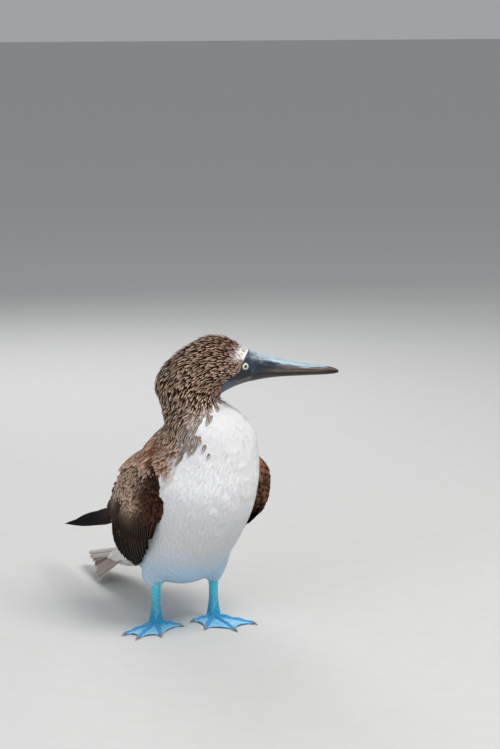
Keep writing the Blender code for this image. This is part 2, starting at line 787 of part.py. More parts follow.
def stand_on_origin(parts):
    """Move every object so that the middle of the box's floor is the origin."""
    corners = [obj.matrix_world @ Vector(corner) for obj in parts.objects for corner in obj.bound_box]
    middle_x = (min(c.x for c in corners) + max(c.x for c in corners)) / 2
    middle_y = (min(c.y for c in corners) + max(c.y for c in corners)) / 2
    for obj in parts.objects:
        obj.location = (-middle_x, -middle_y, 0)


def main():
    clear_scene()
    parts = new_collection("blue_footed_booby")
    helpers = new_collection("helpers")
    build_torso(parts, helpers)
    build_neck(parts)
    build_head(parts, helpers)
    build_eyes(parts)
    build_bill(parts)
    for label in WINGS:
        build_wing(label, parts, helpers)
        build_primaries(label, parts, helpers)
    build_tail(parts, helpers)
    build_legs(parts)
    build_feet(parts, helpers)
    stand_on_origin(parts)


main()
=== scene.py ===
"""Looks of the blue-footed booby: skin, feathers, bill, eyes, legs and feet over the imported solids.

Shapes are laid out in millimetres about the middle of the two feet, as the solids are: the bird faces -Y and its
left is +X. The function to_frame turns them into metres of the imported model's frame.
"""

import math
import random

import bmesh
import bpy
import numpy as np
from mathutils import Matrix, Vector
from mathutils.bvhtree import BVHTree
from mathutils.kdtree import KDTree


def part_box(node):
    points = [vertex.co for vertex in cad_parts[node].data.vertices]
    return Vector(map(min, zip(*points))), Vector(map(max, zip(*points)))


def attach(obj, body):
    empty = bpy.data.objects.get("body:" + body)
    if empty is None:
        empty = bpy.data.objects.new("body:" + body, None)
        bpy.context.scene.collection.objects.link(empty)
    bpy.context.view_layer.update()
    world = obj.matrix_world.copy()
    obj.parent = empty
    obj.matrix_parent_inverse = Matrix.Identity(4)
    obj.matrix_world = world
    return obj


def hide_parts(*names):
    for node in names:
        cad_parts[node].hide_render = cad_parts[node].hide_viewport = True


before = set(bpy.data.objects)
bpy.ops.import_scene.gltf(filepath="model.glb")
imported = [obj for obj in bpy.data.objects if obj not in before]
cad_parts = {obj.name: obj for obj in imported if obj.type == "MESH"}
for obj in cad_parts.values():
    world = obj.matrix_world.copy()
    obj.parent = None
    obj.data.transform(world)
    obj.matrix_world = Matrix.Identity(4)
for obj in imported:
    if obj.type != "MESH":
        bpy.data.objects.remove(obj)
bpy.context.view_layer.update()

MM = 0.001
SIDES = {"right": -1, "left": 1}
HEAD_TURN = 67.0
HEAD_X = -2.7
HEAD_Y = -6.4
FACE_S = 76.7
EYE_S = 68.8
EYE_Z = 306.5
EYE_SIDE = 13.6
EYE_RADIUS = 6.0
LEG_X = {"right": -37.0, "left": 35.0}
EGG = 0.08
COAT_DEPTH = 1.3
SKIN_VOXEL = 1.7

# Rings of the body from tail root to face: turn, x, y, front reach and height, back reach and height, half width
TORSO_RINGS = (
    (0, 0, 0, -108, 60, -112, 78, 20),
    (0, 0, 0, -88, 52, -106, 91, 34),
    (0, 1, 0, -58, 45, -94, 108, 45),
    (0, 1, 0, -25, 42, -84, 128, 53),
    (0, 0, 0, 6, 46, -74, 150, 57),
    (0, -2, 0, 32, 58, -65, 170, 60),
    (0, -1, 0, 54, 78, -57, 187, 64),
    (0, 2, 0, 73, 105, -49, 201, 67),
    (0, 5, 0, 87, 135, -42, 214, 69),
    (0, 8, 0, 93, 165, -36, 225, 67),
    (0, 15, 0, 89, 192, -28, 236, 59),
    (5, 17, -2, 80.5, 217, -26, 246, 52.5),
)
NECK_RINGS = (
    (16, 11, -4, 69, 238, -33, 254, 49),
    (35, 5, -6, 54, 252, -34, 262, 42),
    (55, 0, -6.4, 46, 259, -34, 271, 39),
    (HEAD_TURN, HEAD_X, HEAD_Y, 41, 264.5, -34, 281, 36),
)
HEAD_RINGS = (
    (HEAD_TURN, HEAD_X, HEAD_Y, 41.5, 269, -28, 299, 34),
    (HEAD_TURN, HEAD_X, HEAD_Y, 43.5, 272.5, -14, 315, 32),
    (HEAD_TURN, HEAD_X, HEAD_Y, 46.5, 275, 0, 326, 30),
    (HEAD_TURN, HEAD_X, HEAD_Y, 50, 277, 14, 334.5, 28.5),
    (HEAD_TURN, HEAD_X, HEAD_Y, 54, 279, 28, 339.5, 27),
    (HEAD_TURN, HEAD_X, HEAD_Y, 58.5, 281, 43, 339, 25),
    (HEAD_TURN, HEAD_X, HEAD_Y, 63.5, 283, 56, 334, 22),
    (HEAD_TURN, HEAD_X, HEAD_Y, 69.5, 285, 67, 328, 18.5),
    (HEAD_TURN, HEAD_X, HEAD_Y, FACE_S, 286.8, FACE_S, 321.6, 14.5),
)
NECK_ROW = len(TORSO_RINGS) - 1
HEAD_ROW = len(TORSO_RINGS) + len(NECK_RINGS)
# Thigh rings: height, shift towards the middle of the body, shift to the back, half width and half depth
THIGH_RINGS = {
    "right": (
        (46.0, 0.0, 0.0, 8.5, 9.5),
        (49.0, 0.0, 7.0, 12.5, 15.0),
        (56.0, 0.0, 10.0, 16.5, 18.0),
        (66.0, 4.0, 2.0, 19.5, 19.5),
        (84.0, 11.0, -1.0, 19.0, 18.5),
        (100.0, 20.0, 2.0, 11.0, 14.0),
    ),
    "left": (
        (46.0, 0.0, 0.0, 8.5, 9.5),
        (49.0, 0.0, 2.0, 12.0, 14.0),
        (56.0, 0.5, 3.0, 16.5, 17.5),
        (68.0, 1.0, 3.0, 21.5, 21.0),
        (84.0, 0.5, 2.0, 25.0, 23.0),
        (98.0, 4.0, 0.0, 24.0, 22.0),
        (112.0, 16.0, 0.0, 13.0, 16.0),
    ),
}
# Where feathers end on the side of the face: height and distance along the head
FACE_EDGE = ((284, 45), (288, 47.6), (291.5, 53), (296, 60.3), (300.4, 65.0), (307.7, 67.0), (313.1, 69.4),
             (319.3, 72.4), (324.6, 75.4), (330, 76.5))


# Folded wings in side view, as in the solids. Tables run from front to back along Y.
WINGS = {
    "right": {
        "side": -1,
        "reach": ((-64, 52), (-50, 62), (-30, 66), (0, 67), (30, 66), (60, 63), (90, 59), (120, 55), (160, 52),
                  (220, 53), (302, 56)),
        "middle": ((-64, 150), (0, 142), (60, 128), (98, 111), (120, 104), (200, 81), (302, 52)),
        "top_inset": (0.31, 4),
        "low_inset": (0.33, 3),
        "arm": ((-62, 162, 148, 8), (-56, 182, 139, 20), (-42, 199, 128, 30), (-20, 207, 115, 34), (0, 208, 105, 34),
                (20, 203, 98, 34), (40, 191, 98, 32), (60, 174, 102, 30), (80, 151, 104, 26), (97.7, 128, 104, 17)),
        "secondaries": (((-46, 138), (30, 138), (86, 128)), ((-32, 101), (44, 62), (86, 88))),
        "greater": (((-56, 146), (0, 150), (56, 152)), ((-47, 115), (14, 104), (88, 110))),
        "median": (((-52, 160), (0, 166), (50, 164)), ((-46, 132), (10, 124), (80, 124))),
        "tertials": (((30, 150), (56, 146), (70, 142)), ((72, 106), (96, 110), (112, 117))),
        "scapulars": (((-38, 204), (4, 210), (50, 188)), ((-36, 187), (16, 186), (80, 156))),
    },
    "left": {
        "side": 1,
        "reach": ((-64, 66), (-50, 80), (-30, 92), (0, 96), (30, 90), (60, 80), (90, 66), (120, 52), (160, 40),
                  (220, 29), (302, 18)),
        "middle": ((-64, 176), (-30, 172), (0, 160), (60, 134), (98, 111), (120, 104), (200, 81), (302, 52)),
        "top_inset": (0.97, 2),
        "low_inset": (0.75, 3),
        "arm": ((-62, 184, 168, 8), (-56, 196, 156, 20), (-42, 207, 140, 30), (-20, 214, 126, 34), (0, 212, 118, 34),
                (20, 204, 110, 36), (40, 191, 106, 36), (60, 174, 102, 34), (80, 151, 104, 28), (97.7, 128, 104, 18)),
        "secondaries": (((-46, 148), (16, 146), (84, 130)), ((-32, 126), (28, 92), (96, 98))),
        "greater": (((-50, 158), (0, 160), (56, 152)), ((-40, 132), (16, 112), (88, 106))),
        "median": (((-52, 176), (0, 178), (50, 166)), ((-48, 148), (10, 136), (80, 124))),
        "tertials": (((30, 150), (56, 146), (70, 142)), ((72, 106), (96, 110), (112, 117))),
        "scapulars": (((-38, 206), (4, 211), (50, 188)), ((-36, 190), (16, 188), (80, 156))),
    },
}
INSET_TOP_SPAN = 60.0
INSET_LOW_SPAN = 74.0
INSET_MOST = 0.6
PRIMARY_ROOTS = ((100, 105), (99, 110), (97, 116))
PRIMARY_TIPS = ((303, 52), (268, 63), (196, 85))
TAIL_ROOT = ((104, 0, 20, 81, 8, 36), (120, -1, 23, 75, 10, 37), (138, -2, 25, 69, 12, 35), (156, -4, 25, 62, 13, 32),
             (174, -6, 23, 54, 14, 25), (192, -9, 18, 47, 12, 12))
TAIL_LINE = ((104, 0, 77, 10), (130, -2, 66, 15), (160, -6, 56, 21), (200, -12, 44, 26), (240, -18, 32, 28),
             (280, -23, 21, 29))
TAIL_DROOP_REACH = 28.0
TAIL_LONGEST = 272.0
TAIL_SHORTEST = 200.0
TAIL_SPREAD = 26.0

# Colours as seen in a photograph, 0 to 255
HEAD_DARK = (32, 15, 8)
HEAD_PALE = (250, 212, 184)
CROWN_DARK = (18, 8, 5)
CROWN_PALE = (178, 132, 108)
NECK_DARK = (56, 32, 20)
NECK_PALE = (253, 218, 190)
NECK_EDGE = (212, 188, 170)
MANTLE_DARK = (112, 76, 57)
MANTLE_PALE = (230, 192, 168)
BREAST = (234, 234, 236)
BREAST_SPOT = (206, 192, 180)
# Painted reflection: the blue of light bounced up from below onto the lower belly
PAINTED_BELLY_BOUNCE = (186, 220, 244)
FACE_SKIN = (22, 32, 44)
COVERT_FRONT = ((40, 23, 14), (92, 62, 45))
COVERT_OUTER = ((104, 74, 57), (232, 200, 176))
COVERT_LOW = ((24, 17, 14), (62, 48, 40))
LEFT_COVERT = ((140, 98, 72), (34, 19, 11))
LEFT_SCAPULAR = ((146, 102, 76), (48, 28, 18))
PATCH_PALE = (224, 204, 194)
# A few pale feathers low on the left wing: their place along Y and up, and their share of the row of vanes
PALE_PATCH = (-9.0, 120.0)
PALE_VANES = 0.27
FLIGHT_BASE = (21, 15, 12)
FLIGHT_TIP = (8, 6, 5)
VANE_FRONT = (50, 34, 25)
FLIGHT_SHAFT = (132, 108, 90)
PRIMARY_DARK = (5, 4, 5)
PRIMARY_EDGE = (66, 46, 36)
TAIL_DOWN = (250, 248, 246)
TAIL_PALE = (232, 222, 212)
TAIL_BROWN = (160, 138, 124)


def linear(colour):
    """Linear values of a colour given from 0 to 255."""
    value = np.asarray(colour, float) / 255
    return np.where(value <= 0.04045, value / 12.92, ((value + 0.055) / 1.055) ** 2.4)


def smooth_step(low, high, x):
    t = np.clip((x - low) / (high - low), 0, 1)
    return t * t * (3 - 2 * t)


def mix(a, b, share):
    """Blend of two colours, one share for each row."""
    share = np.asarray(share)[..., None]
    return np.asarray(a) * (1 - share) + np.asarray(b) * share


# Shape of the body, as in the solids


def hermite(before, start, end, after, t):
    slope_start = (end - before) / 2
    slope_end = (after - start) / 2
    a = 2 * start - 2 * end + slope_start + slope_end
    b = -3 * start + 3 * end - 2 * slope_start - slope_end
    return ((a * t + b) * t + slope_start) * t + start


def refine(rows, steps):
    last = len(rows) - 1
    fine = []
    for i in range(last):
        group = (rows[max(i - 1, 0)], rows[i], rows[i + 1], rows[min(i + 2, last)])
        for k in range(steps):
            fine.append(tuple(hermite(*values, k / steps) for values in zip(*group)))
    fine.append(tuple(float(value) for value in rows[last]))
    return fine


def look_up(table, x):
    last = len(table) - 1
    i = 0
    while i < last - 1 and x > table[i + 1][0]:
        i += 1
    t = (x - table[i][0]) / (table[i + 1][0] - table[i][0])
    values = [table[k][1] for k in (max(i - 1, 0), i, i + 1, min(i + 2, last))]
    if 0 <= t <= 1:
        return hermite(*values, t)
    return values[1] + (values[2] - values[1]) * t


def forward(turn):
    angle = math.radians(turn)
    return Vector((math.sin(angle), -math.cos(angle), 0))


AHEAD = forward(HEAD_TURN)
LEFTWARD = Vector((-AHEAD.y, AHEAD.x, 0))


def head_place(along, side, z):
    """Point in the head's frame: along the bill, to the head's left, and up."""
    return Vector((HEAD_X, HEAD_Y, z)) + AHEAD * along + LEFTWARD * side


def head_coordinates(points):
    """Distances along the head and to its left, for an array of points."""
    offset = points[:, :2] - (HEAD_X, HEAD_Y)
    return offset @ np.array(AHEAD)[:2], offset @ np.array(LEFTWARD)[:2]


def body_ring(row, grow, count):
    turn, x, y, front, front_z, back, back_z, half_width = row
    ahead = forward(turn)
    left = Vector((-ahead.y, ahead.x, 0))
    start = Vector((x, y, front_z)) + ahead * front
    end = Vector((x, y, back_z)) + ahead * back
    centre = (start + end) / 2
    depth = (start - end) / 2
    half_depth = depth.length + grow
    depth.normalize()
    points = []
    for k in range(count):
        angle = 2 * math.pi * k / count
        width = (half_width + grow) * (1 + EGG * math.cos(angle))
        points.append(centre + depth * half_depth * math.cos(angle) + left * width * math.sin(angle))
    return points


def box_middle(node):
    low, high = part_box(node)
    return (low + high) / 2


EYES_MIDDLE = (box_middle("eye_right") + box_middle("eye_left")) / 2
SHIFT = EYES_MIDDLE / MM - head_place(EYE_S, 0, EYE_Z)


def to_frame(points):
    return (np.asarray(points, float) + np.array(SHIFT)) * MM


# Mesh making


def loft(rings, bm=None):
    """Closed body through rings of equally many points."""
    bm = bm or bmesh.new()
    loops = [[bm.verts.new(point) for point in ring] for ring in rings]
    count = len(loops[0])
    for low, high in zip(loops, loops[1:]):
        for k in range(count):
            m = (k + 1) % count
            bm.faces.new((low[k], low[m], high[m], high[k]))
    bm.faces.new(list(reversed(loops[0])))
    bm.faces.new(loops[-1])
    return bm


def link(obj):
    bpy.context.scene.collection.objects.link(obj)
    return obj


def object_from(name, bm, material=None):
    """Smooth-shaded object from a bmesh laid out in millimetres."""
    bmesh.ops.recalc_face_normals(bm, faces=bm.faces)
    for vert in bm.verts:
        vert.co = (vert.co + SHIFT) * MM
    mesh = bpy.data.meshes.new(name)
    bm.to_mesh(mesh)
    bm.free()
    mesh.shade_smooth()
    if material:
        mesh.materials.append(material)
    return link(bpy.data.objects.new(name, mesh))


def settle(obj):
    """Apply an object's modifiers to its mesh."""
    depsgraph = bpy.context.evaluated_depsgraph_get()
    mesh = bpy.data.meshes.new_from_object(obj.evaluated_get(depsgraph))
    obj.modifiers.clear()
    obj.data = mesh
    return obj


def remesh(obj, voxel, rounds, factor=0.5):
    """One closed skin over overlapping bodies, smoothed."""
    modifier = obj.modifiers.new("skin", "REMESH")
    modifier.mode = "VOXEL"
    modifier.voxel_size = voxel * MM
    modifier.use_smooth_shade = True
    smoother = obj.modifiers.new("smooth", "SMOOTH")
    smoother.factor = factor
    smoother.iterations = rounds
    bpy.context.view_layer.update()
    return settle(obj)


def mesh_points(mesh):
    """Vertices of a mesh in the frame, turned back to millimetres about the feet."""
    flat = np.empty(len(mesh.vertices) * 3)
    mesh.vertices.foreach_get("co", flat)
    return flat.reshape(-1, 3) / MM - np.array(SHIFT)


def paint(mesh, name, colours):
    """Store one colour for each vertex."""
    layer = mesh.color_attributes.new(name=name, type="FLOAT_COLOR", domain="POINT")
    flat = np.ones((len(colours), 4))
    flat[:, :3] = colours
    layer.data.foreach_set("color", flat.ravel())


def dress(obj, slot, *nodes):
    """Hang a piece on the root and hide the solids it stands in for. The slot it is given is not used."""
    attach(obj, "root")
    if nodes:
        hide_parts(*nodes)
    return obj


def batch(name, points, faces, material, colours, patches, spots, patch_size=(0.003, 0.003), shading=None, under=()):
    """One mesh of many like pieces: points (pieces, vertices, 3), one face list for all, a UV patch for each."""
    pieces, count = points.shape[:2]
    sizes = [len(face) for face in faces]
    corners = np.array([corner for face in faces for corner in face])
    mesh = bpy.data.meshes.new(name)
    mesh.vertices.add(pieces * count)
    mesh.vertices.foreach_set("co", to_frame(points.reshape(-1, 3)).ravel())
    every = (corners[None, :] + count * np.arange(pieces)[:, None]).ravel()
    mesh.loops.add(len(every))
    mesh.loops.foreach_set("vertex_index", every.astype(np.int32))
    starts = np.concatenate([[0], np.cumsum(sizes)[:-1]])
    mesh.polygons.add(len(faces) * pieces)
    starts = (starts[None, :] + len(corners) * np.arange(pieces)[:, None]).ravel()
    mesh.polygons.foreach_set("loop_start", starts.astype(np.int32))
    mesh.update(calc_edges=True)
    bake = mesh.uv_layers.new(name="OFBake")
    place = patches[:, None, :] + (spots[corners][None] - 0.5) * np.array(patch_size)
    bake.data.foreach_set("uv", np.clip(place, 0.0005, 0.9995).astype(np.float32).ravel())
    vane = mesh.uv_layers.new(name="vane")
    vane.data.foreach_set("uv", np.tile(spots[corners], (pieces, 1)).astype(np.float32).ravel())
    for layer, values in colours.items():
        paint(mesh, layer, np.repeat(values, count, axis=0))
    mesh.shade_smooth()
    if shading is not None:
        flip = np.repeat(np.where(np.isin(np.arange(len(faces)), under), -1.0, 1.0), sizes)
        mesh.normals_split_custom_set((shading[:, corners] * flip[:, None]).reshape(-1, 3).astype(np.float32))
    mesh.materials.append(material)
    return link(bpy.data.objects.new(name, mesh))


# Materials


def new_material(name, roughness, **sockets):
    material = bpy.data.materials.new(name)
    material.use_nodes = True
    tree = material.node_tree
    shader = tree.nodes["Principled BSDF"]
    shader.inputs["Roughness"].default_value = roughness
    for socket, value in sockets.items():
        shader.inputs[socket.replace("_", " ")].default_value = value
    return material, tree, shader


def node(tree, kind, **settings):
    """Node of a material; settings named after sockets or properties."""
    made = tree.nodes.new(kind)
    for key, value in settings.items():
        if hasattr(made, key):
            setattr(made, key, value)
        else:
            made.inputs[key.replace("_", " ")].default_value = value
    return made


def maths(tree, operation, a, b=None, clamp=False):
    made = tree.nodes.new("ShaderNodeMath")
    made.operation = operation
    made.use_clamp = clamp
    for socket, value in zip(made.inputs, (a, b)):
        if value is None:
            continue
        if isinstance(value, (int, float)):
            socket.default_value = value
        else:
            tree.links.new(value, socket)
    return made.outputs[0]


def ramp(tree, value, low, high):
    """Smooth step from 0 to 1 between two values."""
    made = tree.nodes.new("ShaderNodeMapRange")
    made.interpolation_type = "SMOOTHSTEP"
    made.inputs["From Min"].default_value = low
    made.inputs["From Max"].default_value = high
    tree.links.new(value, made.inputs["Value"])
    return made.outputs["Result"]


def blend_colours(tree, share, a, b, how="MIX"):
    made = tree.nodes.new("ShaderNodeMix")
    made.data_type = "RGBA"
    made.blend_type = how
    for socket, value in ((made.inputs[0], share), (made.inputs[6], a), (made.inputs[7], b)):
        if isinstance(value, (int, float)):
            socket.default_value = value
        elif isinstance(value, (tuple, list, np.ndarray)):
            socket.default_value = (*value, 1.0)
        else:
            tree.links.new(value, socket)
    return made.outputs[2]


def noise(tree, scale, detail=2.0, vector=None):
    made = node(tree, "ShaderNodeTexNoise", Scale=scale, Detail=detail)
    if vector is None:
        vector = tree.nodes.new("ShaderNodeTexCoord").outputs["Object"]
    tree.links.new(vector, made.inputs["Vector"])
    return made.outputs["Fac"]


def bump(tree, shader, height, strength, distance):
    made = node(tree, "ShaderNodeBump", Strength=strength, Distance=distance)
    tree.links.new(height, made.inputs["Height"])
    tree.links.new(made.outputs["Normal"], shader.inputs["Normal"])


def attribute(tree, name):
    made = tree.nodes.new("ShaderNodeAttribute")
    made.attribute_name = name
    return made.outputs["Color"]


def feather_material(name, tip_low, tip_high, barbs, roughness=0.8, shaft=0.0, edge=0.0):
    """Vane with barbs: base colour to tip colour along it, a shaft line and paler edges where asked."""
    material, tree, shader = new_material(name, roughness, Specular_IOR_Level=0.08)
    vane = tree.nodes.new("ShaderNodeUVMap")
    vane.uv_map = "vane"
    parts = tree.nodes.new("ShaderNodeSeparateXYZ")
    tree.links.new(vane.outputs["UV"], parts.inputs[0])
    across = maths(tree, "ABSOLUTE", maths(tree, "SUBTRACT", parts.outputs["X"], 0.5))
    along = parts.outputs["Y"]
    wave = maths(tree, "SINE", maths(tree, "MULTIPLY", maths(tree, "SUBTRACT", along, across), barbs))
    ragged = noise(tree, 900.0)
    reach = maths(tree, "ADD", along, maths(tree, "MULTIPLY", maths(tree, "SUBTRACT", ragged, 0.5), 0.25))
    reach = maths(tree, "ADD", reach, maths(tree, "MULTIPLY", across, edge))
    colour = blend_colours(tree, ramp(tree, reach, tip_low, tip_high), attribute(tree, "base"), attribute(tree, "tip"))
    if shaft:
        line = maths(tree, "MULTIPLY", ramp(tree, across, 0.05, 0.02), shaft)
        colour = blend_colours(tree, line, colour, attribute(tree, "tip"))
    shade = maths(tree, "ADD", maths(tree, "MULTIPLY", wave, 0.06), 0.94)
    colour = blend_colours(tree, 1.0, colour, shade, "MULTIPLY")
    tree.links.new(colour, shader.inputs["Base Color"])
    bump(tree, shader, wave, 0.35, 0.0002)
    return material


def skin_material():
    """Down under the feathers, and bare granular skin on the face."""
    material, tree, shader = new_material("plumage_skin", 0.75, Specular_IOR_Level=0.3)
    colour = attribute(tree, "coat")
    mottle = maths(tree, "ADD", maths(tree, "MULTIPLY", noise(tree, 260.0, 4.0), 0.2), 0.9)
    tree.links.new(blend_colours(tree, 1.0, colour, mottle, "MULTIPLY"), shader.inputs["Base Color"])
    grain = node(tree, "ShaderNodeTexVoronoi", Scale=1100.0)
    tree.links.new(tree.nodes.new("ShaderNodeTexCoord").outputs["Object"], grain.inputs["Vector"])
    bump(tree, shader, grain.outputs["Distance"], 0.5, 0.0003)
    return material


# Skin


BODY_STEPS = 6
BODY_ROUND = 72


def build_skin():
    """One closed skin of body, thighs, neck and head, a coat's depth inside the solids."""
    rows = refine(TORSO_RINGS + NECK_RINGS + HEAD_RINGS, BODY_STEPS)
    bm = loft([body_ring(row, -COAT_DEPTH, BODY_ROUND) for row in rows])
    for label, side in SIDES.items():
        rings = []
        for z, inward, behind, half_x, half_y in THIGH_RINGS[label]:
            middle = Vector((LEG_X[label] - side * inward, behind, z + COAT_DEPTH / 2))
            rings.append([middle + Vector((math.cos(a) * (half_x - COAT_DEPTH), math.sin(a) * (half_y - COAT_DEPTH), 0))
                          for a in np.linspace(0, 2 * math.pi, 24, endpoint=False)])
        loft(rings, bm)
    obj = remesh(object_from("plumage_skin", bm, None), SKIN_VOXEL, 4)
    low = obj.vertex_groups.new(name="low")
    for vert, height in zip(obj.data.vertices, mesh_points(obj.data)[:, 2]):
        low.add([vert.index], float(smooth_step(128, 92, height) * smooth_step(47, 50, height)), "REPLACE")
    smoother = obj.modifiers.new("smooth", "SMOOTH")
    smoother.factor = 0.5
    smoother.iterations = 90
    smoother.vertex_group = "low"
    settle(obj)
    points = mesh_points(obj.data)
    normals = np.array([tuple(vert.normal) for vert in obj.data.vertices])
    waves = value_noise(points * (1, 1, 1.5), 13, 12) + 0.3 * value_noise(points, 6, 13) - 0.65
    waves *= smooth_step(95, 140, points[:, 2]) * smooth_step(285, 240, points[:, 2])
    obj.data.vertices.foreach_set("co", to_frame(points + normals * (1.3 * waves)[:, None]).ravel())
    return obj


class Body:
    """Coordinates of the body: place along it, turn round it and the lie of its feathers."""

    def __init__(self):
        rows = refine(TORSO_RINGS + NECK_RINGS + HEAD_RINGS, 4)
        count = 48
        self.rings = np.array([[tuple(p) for p in body_ring(row, -COAT_DEPTH, count)] for row in rows])
        total = len(rows)
        self.tree = KDTree(total * count)
        for i in range(total):
            for k in range(count):
                self.tree.insert(self.rings[i, k], i * count + k)
        self.tree.balance()
        back = np.roll(self.rings, 1, axis=0)
        ahead = np.roll(self.rings, -1, axis=0)
        back[0] = self.rings[0]
        ahead[-1] = self.rings[-1]
        flow = back - ahead
        self.flow = (flow / np.linalg.norm(flow, axis=2, keepdims=True)).reshape(-1, 3)
        self.row = np.repeat(np.arange(total) / 4.0, count)
        turn = 2 * np.pi * np.arange(count) / count
        self.turn = np.tile(np.where(turn > np.pi, turn - 2 * np.pi, turn), total)

    def read(self, points):
        """Row, turn in degrees, flow and distance from the loft for each point."""
        row = np.empty(len(points))
        turn = np.empty(len(points))
        flow = np.empty((len(points), 3))
        far = np.empty(len(points))
        for n, point in enumerate(points):
            found = self.tree.find_n(point, 4)
            keys = [item[1] for item in found]
            weights = np.array([1 / (item[2] + 0.2) for item in found])
            weights /= weights.sum()
            row[n] = self.row[keys] @ weights
            direction = np.exp(1j * self.turn[keys]) @ weights
            turn[n] = np.degrees(np.angle(direction))
            flow[n] = weights @ self.flow[keys]
            far[n] = found[0][2]
        down = smooth_step(5, 10, far)[:, None] * (points[:, 2] < 100)[:, None]
        flow = flow * (1 - down) + np.array([0, 0, -1.0]) * down
        return row, turn, flow, far


def value_noise(points, size, seed):
    """Smooth random values from 0 to 1 over space."""
    grid = np.random.default_rng(seed).random((16, 16, 16))
    p = points / size
    low = np.floor(p).astype(int)
    t = p - low
    t = t * t * (3 - 2 * t)
    total = np.zeros(len(points))
    for dx in (0, 1):
        for dy in (0, 1):
            for dz in (0, 1):
                weight = np.ones(len(points))
                for axis, step in enumerate((dx, dy, dz)):
                    weight = weight * (t[:, axis] if step else 1 - t[:, axis])
                corner = (low + (dx, dy, dz)) % 16
                total += weight * grid[corner[:, 0], corner[:, 1], corner[:, 2]]
    return total


def bare_face(points, row):
    """1 where the face has bare skin, 0 where it is feathered."""
    along, side = head_coordinates(points)
    table = np.array(FACE_EDGE, float)
    edge = np.interp(points[:, 2], table[:, 0], table[:, 1])
    return ((along > edge) & (row > HEAD_ROW)).astype(float)


CHIN_PINK = (218, 160, 150)
CHIN_PLACE = head_place(42, -18, 279)


def chin_spot(points):
    """Share of the small pink spot on the throat behind the bill."""
    return np.exp(-np.sum((points - np.array(CHIN_PLACE)) ** 2, axis=1) / 24)


def markings(points, row, turn):
    """Colours of the base and the tip of each feather, and shares of its kind, from its place on the body."""
    side_turn = np.abs(turn)
    z = points[:, 2]
    along, side = head_coordinates(points)
    drift = value_noise(points, 9, 5) - 0.5
    fine = value_noise(points, 3.5, 6) - 0.5
    right_edge = np.interp(row, (8, 10, 11, 12, 13, 14, 15, 15.6, 16.4), (62, 56, 50, 43, 41, 34, 22, 6, -10))
    left_edge = np.interp(row, (12, 13, 14, 15, 15.6, 16.4), (112, 94, 70, 45, 25, -5))
    leftward = smooth_step(-8, 8, turn)
    front = right_edge * (1 - leftward) + left_edge * leftward
    past = side_turn - front + 34 * drift + 24 * fine
    high = smooth_step(192, 222, z + 22 * drift)
    chance = 0.24 + 0.70 * value_noise(points, 1.5, 14)
    streak = smooth_step(chance - 0.03, chance + 0.03, smooth_step(-24, 18, past) * high)
    pale_tips = smooth_step(38, 2, past)
    mantle = smooth_step(54, 72, side_turn - 45 * leftward + 22 * drift) * smooth_step(232, 222, z + 10 * drift)
    mantle = mantle * smooth_step(1.6, 3.4, row) * np.maximum(smooth_step(182, 196, z + 10 * drift),
                                                              smooth_step(96, 118, side_turn))
    crown = smooth_step(18, 22.5, row) * smooth_step(60, 130, side_turn)
    forehead = smooth_step(58, 66, along - 0.5 * (z - 322) + 5 * drift) * smooth_step(309, 317, z)
    forehead = forehead * (row > HEAD_ROW)
    neck = smooth_step(304, 250, z + 0.5 * along)
    dark = mix(mix(linear(HEAD_DARK), linear(NECK_DARK), neck), linear(CROWN_DARK), crown)
    pale = mix(mix(linear(HEAD_PALE), linear(NECK_PALE), neck), linear(CROWN_PALE), crown)
    spots = smooth_step(0.62, 0.95, value_noise(points, 5, 9)) * smooth_step(170, 215, z)
    # Painted reflection: a blue cast of light bounced up from below, painted into the lower belly feathers and their
    # skin, weaker towards the back.
    blue = smooth_step(120, 55, z) * (1 - 0.75 * smooth_step(100, 135, side_turn) * smooth_step(62, 80, z))
    white = mix(linear(BREAST), linear(BREAST_SPOT), 0.5 * spots)
    # Painted shade: the white is darkened by up to a tenth from the breast down to the lower belly.
    white = mix(white, linear(PAINTED_BELLY_BOUNCE), 0.8 * blue) * (1 - 0.10 * smooth_step(175, 115, z))[:, None]
    base = mix(white * 0.98, mix(dark, linear(NECK_EDGE), 0.5 * pale_tips), streak)
    tip = mix(white, mix(pale, white, 0.7 * pale_tips), streak)
    base = mix(base, linear(MANTLE_DARK), mantle)
    tip = mix(tip, linear(MANTLE_PALE), mantle)
    base = mix(base, linear((226, 220, 216)), forehead)
    tip = mix(tip, linear((248, 246, 244)), forehead)
    chin = chin_spot(points)
    base = mix(base, linear(CHIN_PINK), 0.55 * chin)
    tip = mix(tip, linear(CHIN_PINK), 0.55 * chin)
    return base, tip, streak, mantle, forehead


def paint_skin(obj, body):
    points = mesh_points(obj.data)
    row, turn, flow, far = body.read(points)
    base, tip, streak, mantle, forehead = markings(points, row, turn)
    coat = mix(base * 0.6 + tip * 0.4, tip, 1 - np.clip(streak + mantle, 0, 1))
    bare = bare_face(points, row)
    colour = mix(coat, linear(FACE_SKIN), bare)
    colour = mix(colour, linear(CHIN_PINK), 0.6 * chin_spot(points) * (1 - bare))
    paint(obj.data, "coat", colour)
    skin_patch = np.stack([0.5 + turn / 360 * 0.94, 0.03 + row / 24 * 0.94], axis=1)
    bake = obj.data.uv_layers.new(name="OFBake")
    corners = np.empty(len(obj.data.loops), np.int32)
    obj.data.loops.foreach_get("vertex_index", corners)
    uv = skin_patch[corners]
    starts = np.empty(len(obj.data.polygons), np.int32)
    obj.data.polygons.foreach_get("loop_start", starts)
    sizes = np.diff(np.append(starts, len(corners)))
    face = np.repeat(np.arange(len(starts)), sizes)
    wide = np.maximum.reduceat(uv[:, 0], starts) - np.minimum.reduceat(uv[:, 0], starts) > 0.5
    wrap = wide[face] & (uv[:, 0] < 0.5)
    uv[wrap, 0] += 0.94
    bake.data.foreach_set("uv", np.clip(uv, 0, 1).astype(np.float32).ravel())


# Feathers of the body


FEATHER_RINGS = (0.0, 0.42, 0.78)
FEATHER_WIDTHS = (0.55, 1.0, 0.72)


